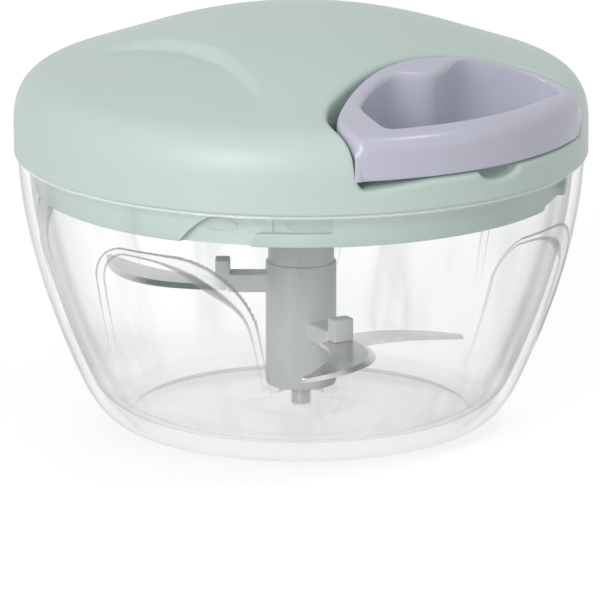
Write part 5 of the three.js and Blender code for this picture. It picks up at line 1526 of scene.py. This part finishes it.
class CHOPPER_OT_stage(bpy.types.Operator):
    """Camera at the photograph's angle, pale floor and soft studio light"""

    bl_idname = "chopper.stage"
    bl_label = "Stage"

    DISTANCE = 1.5
    ELEVATION = math.radians(13.62)
    AIM = Vector((0, 0, 0.05))
    LENS = 396.7
    SHIFT = (-0.0018, -0.167)
    CLIP_END = 20
    FLOOR_SIZE, FLOOR_DROP = 6, 0.0002
    FLOOR, FLOOR_GLOW = 0.62, 0.59
    SKY = (0.9, 0.92, 0.93, 1)
    SKY_STRENGTH = 0.46
    # place, size and power
    LAMPS = {
        "key": ((-0.72, -1.31, 0.6), 0.85, 13.3),
        "fill": ((1.1, -0.7, 0.35), 0.8, 0.8),
        "top": ((0.5, -0.08, 1.05), 0.2, 1.3),
    }

    def camera(self):
        """Camera level across and looking down at the photograph's angle."""
        spot = self.AIM + self.DISTANCE * Vector((0, -math.cos(self.ELEVATION), math.sin(self.ELEVATION)))
        bpy.ops.object.camera_add(location=spot, rotation=(math.pi / 2 - self.ELEVATION, 0, 0))
        camera = bpy.context.object
        camera.data.lens = self.LENS
        camera.data.shift_x, camera.data.shift_y = self.SHIFT
        camera.data.clip_end = self.CLIP_END
        bpy.context.scene.camera = camera

    def lamp(self, name, location, size, power):
        """Round soft lamp that faces the object."""
        bpy.ops.object.light_add(type="AREA", location=location)
        lamp = bpy.context.object
        lamp.name = name
        lamp.data.shape = "DISK"
        lamp.data.size = size
        lamp.data.energy = power
        lamp.rotation_euler = (self.AIM - Vector(location)).to_track_quat("-Z", "Y").to_euler()

    def looked_at(self, nodes):
        """1 for the rays that show a background: from the camera, and through gloss and glass."""
        path = nodes.node("ShaderNodeLightPath", {})
        seen = Value(nodes, path.outputs["Is Camera Ray"])
        for ray in ("Is Glossy Ray", "Is Transmission Ray"):
            seen = nodes.value("ShaderNodeMath", {"operation": "MAXIMUM"}, seen, path.outputs[ray])
        return seen

    def floor(self):
        """Pale floor, just under the bowl, that glows where it is looked at."""
        deselect()
        bpy.ops.mesh.primitive_plane_add(size=self.FLOOR_SIZE, location=(0, 0, -self.FLOOR_DROP))
        floor = bpy.context.object
        floor.name = "floor"
        shader = Shader("floor", Roughness=0.6, Emission_Strength=1.0)
        glow = (*[self.FLOOR_GLOW] * 3, 1)
        shader.feed("Base Color", (*[self.FLOOR] * 3, 1))
        shader.feed("Emission Color", shader.mix(self.looked_at(shader), (0, 0, 0, 1), glow))
        floor.data.materials.append(shader.material)

    def world(self):
        """Pale sky for the light on the object, and white where it is looked at."""
        world = bpy.data.worlds.new("studio")
        bpy.context.scene.world = world
        world.use_nodes = True
        nodes = Nodes(world.node_tree)
        sky = nodes.node("ShaderNodeBackground", {}, Color=self.SKY, Strength=self.SKY_STRENGTH)
        white = nodes.node("ShaderNodeBackground", {}, Color=(1, 1, 1, 1), Strength=1.0)
        looked_at = self.looked_at(nodes)
        shown = nodes.node("ShaderNodeMixShader", {}, looked_at, sky.outputs[0], white.outputs[0])
        nodes.link(nodes.tree.nodes["World Output"].inputs["Surface"], shown.outputs[0])

    def execute(self, context):
        self.camera()
        self.floor()
        self.world()
        for name, settings in self.LAMPS.items():
            self.lamp(name, *settings)
        context.scene.view_settings.view_transform = "Standard"
        return {"FINISHED"}


class CHOPPER_PT_panel(bpy.types.Panel):
    """Lists the sizes, the colours and the pieces"""

    bl_label = "Food chopper"
    bl_idname = "CHOPPER_PT_panel"
    bl_space_type = "VIEW_3D"
    bl_region_type = "UI"
    bl_category = "Chopper"

    def draw(self, context):
        for group in (context.scene.chopper_sizes, context.scene.chopper_colours):
            for name in group.__annotations__:
                self.layout.prop(group, name)
        for operator in OPERATORS:
            self.layout.operator(operator.bl_idname)


OPERATORS = (
    CHOPPER_OT_stage,
    CHOPPER_OT_bowl,
    CHOPPER_OT_lid,
    CHOPPER_OT_handle,
    CHOPPER_OT_lid_base,
    CHOPPER_OT_blades,
    CHOPPER_OT_string,
    CHOPPER_OT_small_pieces,
)
CLASSES = (ChopperSizes, ChopperColours, *OPERATORS, CHOPPER_PT_panel)


def register():
    for item in CLASSES:
        bpy.utils.register_class(item)
    bpy.types.Scene.chopper_sizes = bpy.props.PointerProperty(type=ChopperSizes)
    bpy.types.Scene.chopper_colours = bpy.props.PointerProperty(type=ChopperColours)


def unregister():
    del bpy.types.Scene.chopper_sizes
    del bpy.types.Scene.chopper_colours
    for item in reversed(CLASSES):
        bpy.utils.unregister_class(item)


def main():
    """Builds every piece in order."""
    register()
    for operator in OPERATORS:
        group, name = operator.bl_idname.split(".")
        getattr(getattr(bpy.ops, group), name)()


if __name__ == "__main__":
    main()
